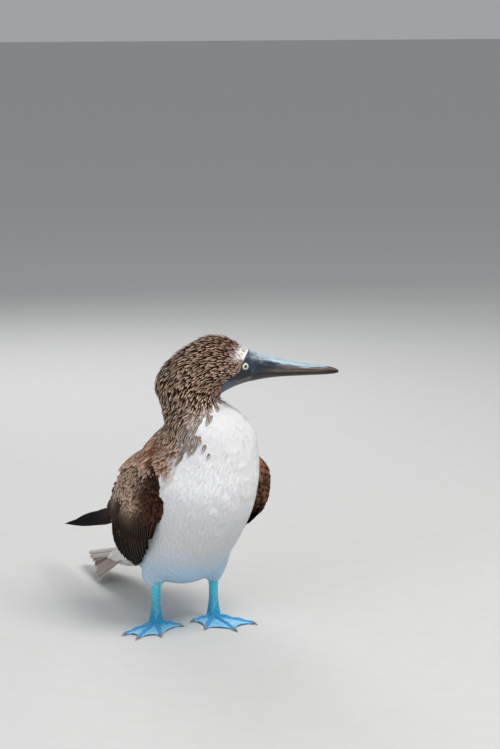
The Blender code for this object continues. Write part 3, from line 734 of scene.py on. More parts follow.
def feather_faces(rings):
    """Faces of a closed three-sided vane that ends in a point."""
    faces = [(2, 1, 0)]
    for k in range(rings - 1):
        for m in range(3):
            n = (m + 1) % 3
            faces.append((3 * k + m, 3 * k + n, 3 * k + 3 + n, 3 * k + 3 + m))
    tip = 3 * rings
    last = tip - 3
    faces += [(last, last + 1, tip), (last + 1, last + 2, tip), (last + 2, last, tip)]
    return faces


def feather_under(rings):
    """Numbers of the faces that look down on the skin, or back at the root."""
    return [0] + [3 * k + 3 for k in range(rings)]


def feather_spots(rings):
    """Place of each vertex in the vane: across from 0 to 1 and along from 0 to 1."""
    spots = []
    for s in rings:
        spots += [(0.0, s), (0.5, s), (1.0, s)]
    spots.append((0.5, 1.0))
    return np.array(spots)


def scatter(obj, spacing, candidates, seed, keep, stretch=None):
    """Evenly spread points on a mesh. Spacing is a function of place, and keep drops points. Where stretch is given,
    it returns the lie at each point and how many times wider the spacing is along it than across it."""
    mesh = obj.data
    mesh.calc_loop_triangles()
    points = mesh_points(mesh)
    triangles = np.empty(len(mesh.loop_triangles) * 3, np.int32)
    mesh.loop_triangles.foreach_get("vertices", triangles)
    corners = points[triangles.reshape(-1, 3)]
    area = np.linalg.norm(np.cross(corners[:, 1] - corners[:, 0], corners[:, 2] - corners[:, 0]), axis=1)
    draw = np.random.default_rng(seed)
    middle = corners.mean(axis=1)
    weight = area / spacing(middle) ** 2
    picked = draw.choice(len(corners), size=candidates, p=weight / weight.sum())
    a, b = draw.random((2, candidates))
    over = a + b > 1
    a[over], b[over] = 1 - a[over], 1 - b[over]
    found = (corners[picked, 0] * (1 - a - b)[:, None] + corners[picked, 1] * a[:, None]
             + corners[picked, 2] * b[:, None])
    found = found[keep(found)]
    gaps = spacing(found)
    lie, longer = stretch(found) if stretch else (np.zeros_like(found), np.ones(len(found)))
    squeeze = 1 - 1 / longer ** 2
    cell = float((gaps * longer).max())
    grid = {}
    chosen = []
    cells = np.floor(found / cell).astype(int)
    for n in range(len(found)):
        x, y, z = cells[n]
        point = found[n]
        near = [other for i in (-1, 0, 1) for j in (-1, 0, 1) for k in (-1, 0, 1)
                for other in grid.get((x + i, y + j, z + k), ())]
        if near:
            offsets = found[near] - point
            apart = np.einsum("ij,ij->i", offsets, offsets) - squeeze[n] * (offsets @ lie[n]) ** 2
            if (apart < gaps[n] ** 2).any():
                continue
        grid.setdefault((x, y, z), []).append(n)
        chosen.append(n)
    return found[chosen]


def lay_feathers(name, roots, flow, surface, colours, look, patches, material, seed, loose=0.6):
    """Small vanes that follow a surface from each root. Look holds length, width, lift of the tip and wildness.
    Loose goes from 0, for a smooth coat, to 1, for one of separate curled feathers."""
    draw = np.random.default_rng(seed)
    base, tip = colours
    count = len(roots)
    loose = np.broadcast_to(loose, count)
    arch = 0.05 + 0.03 * loose
    curl = 0.10 + 0.90 * loose
    tilt = 0.08 + 0.50 * loose
    vary = 0.12 + 0.28 * loose
    length, width, lift, wild = (value * (1 + vary * draw.uniform(-1, 1, count)) for value in look)
    waves = value_noise(roots, 11, seed) + value_noise(roots, 5, seed + 1) - 1
    swing = np.radians(wild * (draw.normal(0, 0.6, count) + 2.4 * waves))
    rings = FEATHER_RINGS + (1.0,)
    centres = np.empty((count, len(rings), 3))
    normals = np.empty((count, len(rings), 3))
    for n in range(count):
        place, normal = surface.find_nearest(Vector(roots[n]))[:2]
        lie = Vector(flow[n])
        lie = (lie - normal * lie.dot(normal)).normalized()
        lie = lie * math.cos(swing[n]) + normal.cross(lie) * math.sin(swing[n])
        before = 0.0
        for k, share in enumerate(rings):
            if k:
                place, normal = surface.find_nearest(place + lie * (length[n] * (share - before)))[:2]
                lie = (lie - normal * lie.dot(normal)).normalized()
            before = share
            centres[n, k] = place
            normals[n, k] = normal
    along = np.gradient(centres, axis=1)
    sides = np.cross(along, normals)
    sides /= np.linalg.norm(sides, axis=2, keepdims=True) + 1e-9
    sides = sides + normals * (draw.normal(0, 0.012, count) * wild)[:, None, None]
    height = -0.5 + (lift[:, None] + 0.5) * np.array(rings)[None, :] ** 0.8
    middle = centres + normals * height[:, :, None]
    points = np.empty((count, 3 * len(FEATHER_RINGS) + 1, 3))
    for k, share in enumerate(FEATHER_WIDTHS):
        half = sides[:, k] * (width * share / 2)[:, None]
        sag = normals[:, k] * (arch * width * share + 0.04)[:, None]
        points[:, 3 * k] = middle[:, k] - half - sag
        points[:, 3 * k + 1] = middle[:, k] + normals[:, k] * 0.08
        points[:, 3 * k + 2] = middle[:, k] + half - sag
    points[:, -1] = middle[:, -1]
    shading = np.empty_like(points)
    onward = along / (np.linalg.norm(along, axis=2, keepdims=True) + 1e-9)
    for k, share in enumerate(FEATHER_RINGS):
        leaning = normals[:, k] + onward[:, k] * (tilt * share)[:, None]
        shading[:, 3 * k] = leaning - sides[:, k] * curl[:, None]
        shading[:, 3 * k + 1] = leaning
        shading[:, 3 * k + 2] = leaning + sides[:, k] * curl[:, None]
    shading[:, -1] = normals[:, -1] + onward[:, -1] * tilt[:, None]
    shading /= np.linalg.norm(shading, axis=2, keepdims=True)
    layers = {"base": np.clip(base, 0, 0.95), "tip": np.clip(tip, 0, 0.95)}
    return batch(name, points, feather_faces(len(FEATHER_RINGS)), material, layers, patches,
                 feather_spots(FEATHER_RINGS), shading=shading, under=feather_under(len(FEATHER_RINGS)))


def body_feathers(name, roots, body, surface, material, seed):
    draw = np.random.default_rng(seed)
    row, turn, flow, far = body.read(roots)
    base, tip, streak, mantle, forehead = markings(roots, row, turn)
    look = coat_look(roots, row, turn, streak, mantle, forehead)
    dull = 1 - streak * draw.uniform(-0.22, 0.58, len(roots))
    tip = tip * dull[:, None]
    loose = np.clip(streak + mantle, 0, 1)[:, None]
    base = base * (1 + loose * draw.uniform(-0.12, 0.08, (len(roots), 1)))
    patches = np.stack([0.5 + turn / 360 * 0.94, 0.03 + row / 24 * 0.94], axis=1)
    return lay_feathers(name, roots, flow, surface, (base, tip), look, patches, material, seed, loose[:, 0])


def coat_look(points, row, turn, streak, mantle, forehead):
    """Length, width, lift of the tip and wildness of feathers, from their place."""
    head = smooth_step(14.5, 19, row)
    face = smooth_step(19.5, 23, row)
    white = 1 - np.clip(streak + mantle, 0, 1)
    length = 14.0 * white + (1 - white) * (14.0 - 2.0 * head) - 3.6 * face
    low = smooth_step(105, 70, points[:, 2])
    length = np.where(mantle > 0.5, 12.5, length) * (1 - 0.35 * low)
    width = 7.5 * white + (1 - white) * (3.3 - 0.4 * head) - 0.4 * face
    width = np.where(mantle > 0.5, 6.0, width)
    nape = smooth_step(110, 165, np.abs(turn)) * smooth_step(12, 15, row)
    lift = 0.22 * white + (1.9 + 0.6 * nape) * (1 - white) - 0.8 * face
    wild = 3.0 * white + 10.0 * (1 - white)
    return length * (1 - 0.35 * forehead), width, lift, wild


def coat_spacing(body_reader):
    def spacing(points):
        z = points[:, 2]
        along, side = head_coordinates(points)
        high = smooth_step(185, 235, z)
        face = high * smooth_step(30, 62, along) * (z > 280)
        return 3.7 - 1.65 * high - 0.3 * face
    return spacing


def build_coat(skin, body):
    """All body feathers, in one piece for each stretch of the body."""
    mesh = skin.data
    points = mesh_points(mesh)
    polygons = [tuple(p.vertices) for p in mesh.polygons]
    surface = BVHTree.FromPolygons([Vector(p) for p in points], polygons)
    spacing = coat_spacing(body)

    def keep(found):
        row, turn, flow, far = body.read(found)
        tail_cap = (row < 0.12)
        soles = found[:, 2] < 48
        return (bare_face(found, row) < 0.5) & ~tail_cap & ~soles

    def stretch(found):
        row, turn, flow, far = body.read(found)
        base, tip, streak, mantle, forehead = markings(found, row, turn)
        return flow, 1 + 1.7 * np.clip(streak, 0, 1) * smooth_step(11, 14, row)

    roots = scatter(skin, spacing, COAT_CANDIDATES, 11, keep, stretch)
    row, turn, flow, far = body.read(roots)
    streaked = feather_material("streaked_feathers", 0.26, 0.52, 46.0, edge=-1.5)
    soft = feather_material("white_feathers", 0.35, 0.95, 60.0, roughness=0.9)
    parts = {
        "head_coat": (row >= 17, streaked, "head_plumage"),
        "neck_coat": ((row >= 10.5) & (row < 17), streaked, "neck_plumage"),
        "breast_coat": ((row < 10.5) & (np.abs(turn) < 75), soft, "white_plumage"),
        "back_coat": ((row < 10.5) & (np.abs(turn) >= 75), soft, "white_plumage"),
    }
    made = []
    for seed, (name, (chosen, material, slot)) in enumerate(parts.items()):
        piece = body_feathers(name, roots[chosen], body, surface, material, 40 + seed)
        made.append(dress(piece, slot))
        print(name, chosen.sum())
    return surface


COAT_CANDIDATES = 150000


def build_body():
    skin = build_skin()
    body = Body()
    paint_skin(skin, body)
    skin.data.materials.append(skin_material())
    dress(skin, "white_plumage", "torso", "neck", "head")
    surface = build_coat(skin, body)
    return body, surface


# Wings, primaries and tail


class Wing:
    """Outer face of a folded wing, as a function of the place in side view."""

    def __init__(self, table):
        self.table = table
        self.side = table["side"]
        self.ys = np.linspace(-90, 330, 841)
        self.reach = np.array([look_up(table["reach"], y) for y in self.ys])
        self.middle = np.array([look_up(table["middle"], y) for y in self.ys])

    def point(self, y, z):
        rise = z - np.interp(y, self.ys, self.middle)
        top_share, top_power = self.table["top_inset"]
        low_share, low_power = self.table["low_inset"]
        over = top_share * (np.maximum(rise, 0) / INSET_TOP_SPAN) ** top_power
        under = low_share * (np.maximum(-rise, 0) / INSET_LOW_SPAN) ** low_power
        inset = np.minimum(over + under, INSET_MOST)
        x = self.side * np.interp(y, self.ys, self.reach) * (1 - inset)
        return np.stack([x, y + 0 * z, z + 0 * y], axis=-1)

    def place(self, y, z, height):
        along = self.point(y + 1, z) - self.point(y - 1, z)
        up = self.point(y, z + 1) - self.point(y, z - 1)
        normal = np.cross(along, up)
        normal /= np.linalg.norm(normal, axis=-1, keepdims=True)
        normal *= np.sign(normal[..., :1] * self.side)
        return self.point(y, z) + normal * height[..., None]


def tail_place(x, y, height):
    """Point at a height over the tail's roof-shaped surface, for a distance x from its middle line."""
    ys = np.linspace(90, 300, 211)
    middle, top, droop = (np.interp(y, ys, [look_up([(row[0], row[k]) for row in TAIL_LINE], v) for v in ys])
                          for k in (1, 2, 3))
    fall = droop * (x / TAIL_DROOP_REACH) ** 2
    slope = 2 * droop * x / TAIL_DROOP_REACH ** 2
    normal = np.stack([slope, 0 * slope, 1 + 0 * slope], axis=-1)
    normal /= np.linalg.norm(normal, axis=-1, keepdims=True)
    return np.stack([middle + x, y, top - fall], axis=-1) + normal * height[..., None]


def along_arc(points, t):
    t = np.asarray(t)[:, None]
    first, middle, last = (np.array(point, float) for point in points)
    return first * (1 - t) * (1 - 2 * t) + middle * 4 * t * (1 - t) + last * t * (2 * t - 1)


def long_vanes(name, place, roots, tips, width, lift, tilt, shoulder, point, material, base, tip, seed, wobble=1.0):
    """Flight feathers and large coverts: closed vanes with a raised shaft, laid over a surface."""
    draw = np.random.default_rng(seed)
    count, rows, columns = len(roots), 13, 7
    s = 1 - (1 - np.linspace(0, 1, rows)) ** 1.6
    across = np.linspace(-1, 1, columns)
    run = tips - roots
    length = np.linalg.norm(run, axis=1, keepdims=True)
    run = run / length
    aside = np.stack([-run[:, 1], run[:, 0]], axis=1)
    outline = (0.45 + 0.55 * smooth_step(0, 0.25, s)) * (1 - np.clip((s - shoulder) / (1 - shoulder), 0, 1) ** point)
    outline = np.maximum(outline, 0.03)
    ragged = 1 + wobble * draw.normal(0, 0.03, (count, rows))
    half = np.asarray(width).reshape(-1, 1) / 2 * outline * ragged
    bend = (draw.normal(0, 0.012, count) * wobble)[:, None] * length * np.sin(np.pi * s)
    offset = half[:, :, None] * across + bend[:, :, None]
    p = roots[:, None, None, :] + (run * length)[:, None, None, :] * s[None, :, None, None]
    p = p + aside[:, None, None, :] * offset[..., None]
    low, high = lift
    height = np.asarray(low).reshape(-1, 1) + (np.asarray(high) - np.asarray(low)).reshape(-1, 1) * s ** 0.7
    height = height[:, :, None] + tilt * offset - 0.05 * np.abs(half[:, :, None] * across)
    shaft = 0.28 * np.exp(-(across / 0.16) ** 2) * (1 - 0.7 * s[:, None])
    ripple = wobble * draw.normal(0, 0.07, (count, rows, columns)) * np.abs(across)
    thick = (0.10 + 0.16 * (1 - across ** 2))[None, None, :]
    upper = place(p[..., 0], p[..., 1], height + thick + shaft[None] + ripple)
    lower = place(p[..., 0], p[..., 1], height - thick + ripple)
    points = np.concatenate([upper.reshape(count, -1, 3), lower.reshape(count, -1, 3)], axis=1)
    faces = []
    size = rows * columns
    for i in range(rows - 1):
        for k in range(columns - 1):
            a = i * columns + k
            faces.append((a, a + 1, a + 1 + columns, a + columns))
            faces.append((size + a, size + a + columns, size + a + 1 + columns, size + a + 1))
        for k in (0, columns - 1):
            a = i * columns + k
            side = (a, a + columns, size + a + columns, size + a)
            faces.append(side if k == 0 else side[::-1])
    for i in (0, rows - 1):
        for k in range(columns - 1):
            a = i * columns + k
            end = (a, size + a, size + a + 1, a + 1)
            faces.append(end if i == 0 else end[::-1])
    spots = np.array([(0.5 + 0.5 * w, t) for t in s for w in across] * 2)
    patches = np.stack([(np.arange(count) + 0.5) / count, np.full(count, 0.5)], axis=1)
    shade = draw.uniform(0.88, 1.08, (count, 1))
    layers = {"base": np.clip(base * shade, 0, 0.95), "tip": np.clip(tip * shade, 0, 0.95)}
    obj = batch(name, points, faces, material, layers, patches, spots, (0.92 / count, 0.96))
    fix_normals(obj)
    return obj


def fix_normals(obj):
    bm = bmesh.new()
    bm.from_mesh(obj.data)
    bmesh.ops.recalc_face_normals(bm, faces=bm.faces)
    bm.to_mesh(obj.data)
    bm.free()


def flight_material(name, shaft_colour, roughness=0.6, edge_colour=None):
    """Long vane: slanting barbs, a pale shaft and a thin worn edge."""
    material, tree, shader = new_material(name, roughness, Specular_IOR_Level=0.03)
    vane = tree.nodes.new("ShaderNodeUVMap")
    vane.uv_map = "vane"
    parts = tree.nodes.new("ShaderNodeSeparateXYZ")
    tree.links.new(vane.outputs["UV"], parts.inputs[0])
    across = maths(tree, "ABSOLUTE", maths(tree, "SUBTRACT", parts.outputs["X"], 0.5))
    along = parts.outputs["Y"]
    slant = maths(tree, "SUBTRACT", along, maths(tree, "MULTIPLY", across, 0.35))
    wave = maths(tree, "SINE", maths(tree, "MULTIPLY", slant, 420.0))
    clump = noise(tree, 420.0, 4.0)
    colour = blend_colours(tree, ramp(tree, along, 0.25, 0.85), attribute(tree, "base"), attribute(tree, "tip"))
    shade = maths(tree, "ADD", maths(tree, "MULTIPLY", wave, 0.05), maths(tree, "ADD", maths(tree, "MULTIPLY", clump, 0.5), 0.7))
    colour = blend_colours(tree, 1.0, colour, shade, "MULTIPLY")
    if edge_colour is not None:
        rim = maths(tree, "MULTIPLY", ramp(tree, across, 0.40, 0.49), 0.7)
        colour = blend_colours(tree, rim, colour, edge_colour)
    line = maths(tree, "MULTIPLY", ramp(tree, across, 0.045, 0.02), 0.85)
    colour = blend_colours(tree, line, colour, shaft_colour)
    tree.links.new(colour, shader.inputs["Base Color"])
    bump(tree, shader, wave, 0.4, 0.0003)
    return material


def wing_ring(wing, row, across=15):
    """Section of the wing's arm: its outer face, and an inner face sunk by its depth."""
    y, top, low, depth = row
    outer = []
    inner = []
    for k in range(across):
        w = -1 + 2 * k / (across - 1)
        z = (top + low) / 2 + (top - low) / 2 * math.sin(w * math.pi / 2)
        x = wing.point(np.array(float(y)), np.array(float(z)))[0]
        shrink = COAT_DEPTH if wing.side < 0 else -2.0
        shrink *= wing.side
        outer.append(Vector((x - shrink, y, z)))
        if 0 < k < across - 1:
            inner.append(Vector((x - shrink - wing.side * depth * math.cos(w * math.pi / 2) ** 0.5, y, z)))
    return outer + inner[::-1]


def down_material(name, colour):
    material, tree, shader = new_material(name, 0.9, Specular_IOR_Level=0.2)
    mottle = maths(tree, "ADD", maths(tree, "MULTIPLY", noise(tree, 300.0, 4.0), 0.6), 0.6)
    tree.links.new(blend_colours(tree, 1.0, tuple(linear(colour)), mottle, "MULTIPLY"), shader.inputs["Base Color"])
    return material


def bvh_of(obj):
    points = mesh_points(obj.data)
    return BVHTree.FromPolygons([Vector(p) for p in points], [tuple(p.vertices) for p in obj.data.polygons])


def small_coverts(label, wing, arm, body_surface, material):
    """Lesser and median coverts over the whole arm, as scales that turn from down to back along the wing."""
    surface = bvh_of(arm)

    large = 1.0 if label == "right" else 1.35

    def spacing(points):
        return large * (2.7 + 0.010 * np.maximum(200 - points[:, 2], 0))

    def keep(found):
        free = []
        for point in found:
            place, normal, index, gap = body_surface.find_nearest(Vector(point))
            free.append((Vector(point) - place).dot(normal) > 0.2)
        return np.array(free) & (found[:, 1] < 96)

    roots = scatter(arm, spacing, 34000, 21, keep)
    y, z = roots[:, 1], roots[:, 2]
    back = np.interp(y, (-55, 0, 50, 95), (0.05, 0.30, 0.85, 1.4))
    flow = np.stack([0 * back, back, -np.ones(len(roots))], axis=1)
    drift = value_noise(roots, 14, 3) - 0.5
    outer = smooth_step(-36, 6, y + 26 * drift)
    patch = np.zeros(len(roots))
    if label == "left":
        outer = 0.5 * smooth_step(10, 60, y + 30 * drift)
        patch = np.exp(-((y - PALE_PATCH[0]) ** 2 + (z - PALE_PATCH[1]) ** 2) / 110)
    low = smooth_step(152, 120, z + 12 * drift) * (1.0 if label == "right" else 0.45)
    patchy = (0.72 + 0.56 * value_noise(roots, 6, 8))[:, None]
    if label == "right":
        base = mix(linear(COVERT_FRONT[0]), linear(COVERT_OUTER[0]), outer)
        tip = mix(linear(COVERT_FRONT[1]), linear(COVERT_OUTER[1]), outer)
    else:
        base = mix(linear(LEFT_COVERT[0]), linear(COVERT_OUTER[0]), outer)
        tip = mix(linear(LEFT_COVERT[1]), linear(COVERT_OUTER[1]), outer)
    base = mix(base, linear(COVERT_LOW[0]), 0.8 * low) * patchy
    tip = mix(tip, linear(COVERT_LOW[1]), 0.8 * low) * patchy
    base = mix(base, linear(PATCH_PALE), patch)
    tip = mix(tip, linear(PATCH_PALE), patch)
    length = large * (8.5 + 0.045 * np.maximum(195 - z, 0))
    look = (length, length * 0.46, np.full(len(roots), 1.2), np.full(len(roots), 7.0))
    patches = np.stack([(y + 90) / 200, (z - 50) / 180], axis=1)
    return lay_feathers("small_coverts_" + label, roots, flow, surface, (base, tip), look, patches, material, 61)


def row_of_vanes(name, place, arcs, count, width, lift, tilt, shape, material, colours, seed, pale_at=-1.0):
    draw = np.random.default_rng(seed)
    t = np.linspace(0, 1, count)
    roots = along_arc(arcs[0], t)
    tips = along_arc(arcs[1], t)
    stretch = draw.uniform(-1.5, 1.5, count)
    tips = tips + np.stack([0.5 * stretch, -stretch], axis=1)
    base = mix(linear(VANE_FRONT), linear(colours[0]), smooth_step(0.25, 0.70, t))
    pale = np.exp(-((t - pale_at) / 0.08) ** 2)
    base = mix(base, linear(PATCH_PALE), pale)
    tip = mix(linear(colours[1]), linear(PATCH_PALE), 0.9 * pale)
    return long_vanes(name, place, roots, tips, width, lift, tilt, shape[0], shape[1], material, base, tip, seed)


def clear_of(place, body_surface, margin):
    """The same placing on a wing, pushed out wherever it would sink into the body's coat."""
    def clear(y, z, height):
        points = place(y, z, height)
        flat = points.reshape(-1, 3).copy()
        gaps = margin + np.asarray(height).ravel()
        for n, point in enumerate(flat):
            near, normal = body_surface.find_nearest(Vector(point))[:2]
            inside = gaps[n] - (Vector(point) - near).dot(normal)
            if inside > 0:
                flat[n] += np.array(normal) * inside
        return flat.reshape(points.shape)
    return clear


SCAPULAR_ROWS = 8
SCAPULAR_STEP = 3.2


def build_scapulars(label, wing, arcs, body_surface, material):
    """Rows of small feathers that come down from the back over the top of the folded wing."""
    draw = np.random.default_rng(95)
    roots, tips, heights = [], [], []
    for k in range(SCAPULAR_ROWS):
        count = 34 + (k % 2)
        first = (0.02 if wing.side < 0 else 0.12) + 0.045 * k
        last = min(1.0, 0.80 + 0.05 * k)
        t = np.clip(np.linspace(first, last, count) + draw.normal(0, 0.008, count), 0, 1)
        rise = np.stack([np.zeros(count), np.full(count, SCAPULAR_STEP * k)], axis=1)
        lowest = along_arc(arcs[1], t) + rise + draw.normal(0, 1.1, (count, 2))
        upward = (along_arc(arcs[0], t) + rise - lowest)
        upward /= np.linalg.norm(upward, axis=1, keepdims=True)
        roots.append(lowest + upward * draw.uniform(9.5, 12.5, (count, 1)))
        tips.append(lowest)
        heights.append(np.full(count, 2.8 - 0.28 * k))
    roots, tips, heights = np.concatenate(roots), np.concatenate(tips), np.concatenate(heights)
    shade = draw.uniform(0.65, 1.2, (len(roots), 1))
    dark, pale = (MANTLE_DARK, MANTLE_PALE) if label == "right" else LEFT_SCAPULAR
    base = np.repeat(linear(dark)[None], len(roots), axis=0) * shade
    tip = np.repeat(linear(pale)[None], len(roots), axis=0) * shade
    made = long_vanes("scapulars_" + label, clear_of(wing.place, body_surface, 0.9), roots, tips,
                      np.full(len(roots), 5.0), (heights - 1.3, heights), -0.05, 0.5, 2.0, material, base, tip, 96)
    dress(made, "wing_feathers")


def build_wing(label, body_surface, covert, flight, primary):
    wing = Wing(WINGS[label])
    table = wing.table
    side = wing.side
    arm_rings = [wing_ring(wing, row) for row in refine(table["arm"], 4)]
    tone = COVERT_FRONT[0] if label == "right" else LEFT_COVERT[0]
    arm = object_from("wing_arm_" + label, loft(arm_rings), down_material("wing_down_" + label, tone))
    dress(arm, "wing_feathers", "wing_" + label)
    dress(small_coverts(label, wing, arm, body_surface, covert), "wing_feathers")
    tilt = -0.10
    place = clear_of(wing.place, body_surface, 3.2)
    rows = (
        ("secondaries_", "secondaries", 18, 14.0, (-1.5, 0.6), (0.86, 2.8), flight, (FLIGHT_BASE, FLIGHT_TIP)),
        ("greater_coverts_", "greater", 25, 8.5, (-2.8, 1.0), (0.78, 2.4), flight, ((150, 122, 104), (24, 17, 13))),
        ("tertials_", "tertials", 9, 9.0, (-2.0, 1.2), (0.78, 2.4), flight, ((150, 124, 106), (46, 35, 29))),
    )
    for n, (name, arcs, count, width, lift, shape, material, colours) in enumerate(rows):
        pale_at = PALE_VANES if label == "left" and n < 2 else -1.0
        made = row_of_vanes(name + label, place, table[arcs], count, width, lift, tilt, shape, material, colours,
                            70 + n, pale_at)
        dress(made, "flight_feathers" if n == 0 else "wing_feathers")
    build_scapulars(label, wing, table["scapulars"], body_surface, covert)
    t = np.linspace(0, 1, 8)
    height = -1.0 * (8 - np.arange(8)) + 1.0
    tips = along_arc(PRIMARY_TIPS, t)
    made = long_vanes("primaries_" + label + "_vanes", wing.place, along_arc(PRIMARY_ROOTS, t), tips,
                      np.full(8, 12.0), (height, height), 0.0, 0.55, 1.7, primary,
                      np.repeat(linear(PRIMARY_EDGE)[None], 8, axis=0) * 0.45,
                      np.repeat(linear(PRIMARY_DARK)[None], 8, axis=0), 90, 0.6)
    dress(made, "flight_feathers", "primaries_" + label)


def tail_ring(row, across=15):
    y, x, half_width, top, droop, depth = row
    upper = []
    lower = []
    for k in range(across):
        w = -1 + 2 * k / (across - 1)
        z = top - droop * w * w
        upper.append(Vector((x + half_width * w, y, z - COAT_DEPTH)))
        if 0 < k < across - 1:
            lower.append(Vector((x + half_width * w, y, z + COAT_DEPTH * 0.5 - depth * (1 - w * w) ** 0.5)))
    return upper + lower[::-1]


def build_tail(covert):
    """Twelve rectrices under a fan, with upper and lower coverts over their roots."""
    root = object_from("tail_root", loft([tail_ring(row) for row in refine(TAIL_ROOT, 4)]),
                       down_material("tail_down", (214, 206, 200)))
    dress(root, "tail_feathers", "tail")
    surface = bvh_of(root)

    def keep(found):
        return (found[:, 1] > 100) & (found[:, 1] < 188)

    roots = scatter(root, lambda points: np.full(len(points), 3.3), 12000, 31, keep)
    flow = np.tile([0.0, 1.0, -0.25], (len(roots), 1))
    flow[:, 0] = 0.014 * (roots[:, 0] + 2)
    over = smooth_step(64, 78, roots[:, 2] + 0.35 * (roots[:, 1] - 104))
    patchy = smooth_step(0.45, 0.7, value_noise(roots, 8, 4))
    tip = mix(linear(TAIL_DOWN), linear((178, 158, 142)), 0.6 * over * patchy)
    base = mix(linear(TAIL_DOWN), linear((140, 118, 100)), 0.7 * over * patchy)
    look = (np.full(len(roots), 27.0), np.full(len(roots), 7.5), np.full(len(roots), 2.2), np.full(len(roots), 9.0))
    patches = np.stack([(roots[:, 0] + 40) / 80, (roots[:, 1] - 90) / 90], axis=1)
    coverts = lay_feathers("tail_coverts", roots, flow, surface, (base, tip), look, patches, covert, 33)
    dress(coverts, "tail_feathers")
    pairs = 6
    sheet = flight_material("rectrices", tuple(linear((220, 208, 196))), 0.65, tuple(linear((226, 216, 208))))
    roots, tips, heights, brown = [], [], [], []
    draw = np.random.default_rng(35)
    for side in (-1, 1):
        for k in range(pairs):
            t = k / (pairs - 1)
            roots.append((side * (2.5 + 12 * t), 128))
            tips.append((side * (3 + TAIL_SPREAD * t * (1 if side < 0 else 0.6)),
                         TAIL_LONGEST + (TAIL_SHORTEST - TAIL_LONGEST) * t))
            heights.append(-1.8 - 0.8 * k - (0.4 if side > 0 else 0))
            brown.append(0.45 + 0.5 * t + draw.uniform(-0.3, 0.3))
    heights = np.array(heights)
    count = len(roots)
    base = mix(linear(TAIL_PALE), linear(TAIL_BROWN), np.clip(brown, 0, 1))
    tip = mix(linear((214, 206, 200)), linear((116, 96, 84)), np.clip(np.array(brown) - 0.15, 0, 1))
    made = long_vanes("rectrices", tail_place, np.array(roots, float), np.array(tips, float), np.full(count, 19.0),
                      (heights - 1.5, heights + 1.0), 0.08, 0.84, 2.4, sheet, base, tip, 36, 1.0)
    dress(made, "tail_feathers")


def build_feathered_limbs(body_surface):
    covert = feather_material("covert_feathers", 0.45, 0.95, 60.0, edge=0.35)
    flight = flight_material("flight_vanes", tuple(linear(FLIGHT_SHAFT)), 0.65, tuple(linear((66, 50, 40))))
    primary = flight_material("primary_vanes", tuple(linear((40, 30, 26))), 0.6)
    for label in WINGS:
        build_wing(label, body_surface, covert, flight, primary)
    build_tail(feather_material("tail_covert_feathers", 0.40, 0.95, 60.0))


# Bill, bare face and eyes


# Sections of the bill: along, culmen, mouth, underside, half width. The first two lie under the skin of the face.
BILL_SECTIONS = (
    (74.0, 323.0, 295.2, 287.1, 15.0),
    (75.6, 322.6, 295.7, 286.5, 15.1),
    (77.4, 321.4, 296.2, 286.9, 14.4),
    (90, 317.6, 297.5, 289.6, 11.8),
    (108, 313.6, 297.2, 291.8, 9.4),
    (126, 309.8, 297.6, 292.8, 7.8),
    (144, 306.9, 298.0, 293.6, 6.4),
    (160, 304.6, 298.2, 294.3, 5.0),
    (170, 302.2, 298.2, 295.2, 3.6),
    (176, 299.6, 297.9, 296.4, 1.6),
)
BILL_STEPS = 10
BILL_ROUND = 40
GROOVE_RISE = 0.56
GAPE_LINE = ((62.0, 290.9), (72.0, 294.2), (79.0, 296.6))
FACE_ROUND = 200
FACE_STEPS = 12
LID_OPENING = 3.75

CULMEN = (152, 176, 188)
BILL_SLATE = (34, 46, 60)
BILL_MAUVE = (104, 98, 104)
BILL_BROWN = (56, 44, 38)
BILL_TIP = (52, 36, 30)
BILL_UNDER = (46, 56, 60)
FACE_BLUE = (44, 62, 82)
CHIN_BLUE = (66, 92, 108)
IRIS = (238, 236, 212)


def bill_half(upper):
    """Rings of one mandible. At the face they follow its oval, further out they are fuller near the mouth."""
    rings = []
    for along, culmen, mouth, underside, width in refine(BILL_SECTIONS, BILL_STEPS):
        flat = mouth + 0.10 if upper else mouth - 0.10
        crest = culmen if upper else underside
        middle = (culmen + underside) / 2
        half_height = (culmen - underside) / 2
        own = float(smooth_step(77, 88, along))
        grooved = float(smooth_step(82, 92, along) * smooth_step(170, 160, along)) if upper else 0.0
        tuck = 0.0 if upper else 0.35 * own
        ring = []
        for k in range(BILL_ROUND + 1):
            angle = math.pi * k / BILL_ROUND
            rise = max(math.sin(angle), 0.0) ** 0.8
            z = flat + (crest - flat) * rise
            oval = math.copysign(math.sqrt(max(0.0, 1 - ((z - middle) / half_height) ** 2)), math.cos(angle))
            share = oval * (1 - own) + math.cos(angle) * own
            groove = 0.45 * grooved * math.exp(-((rise - GROOVE_RISE) / 0.07) ** 2)
            ring.append(head_place(along, (width - tuck - groove) * share, z))
        rings.append(ring)
    return rings


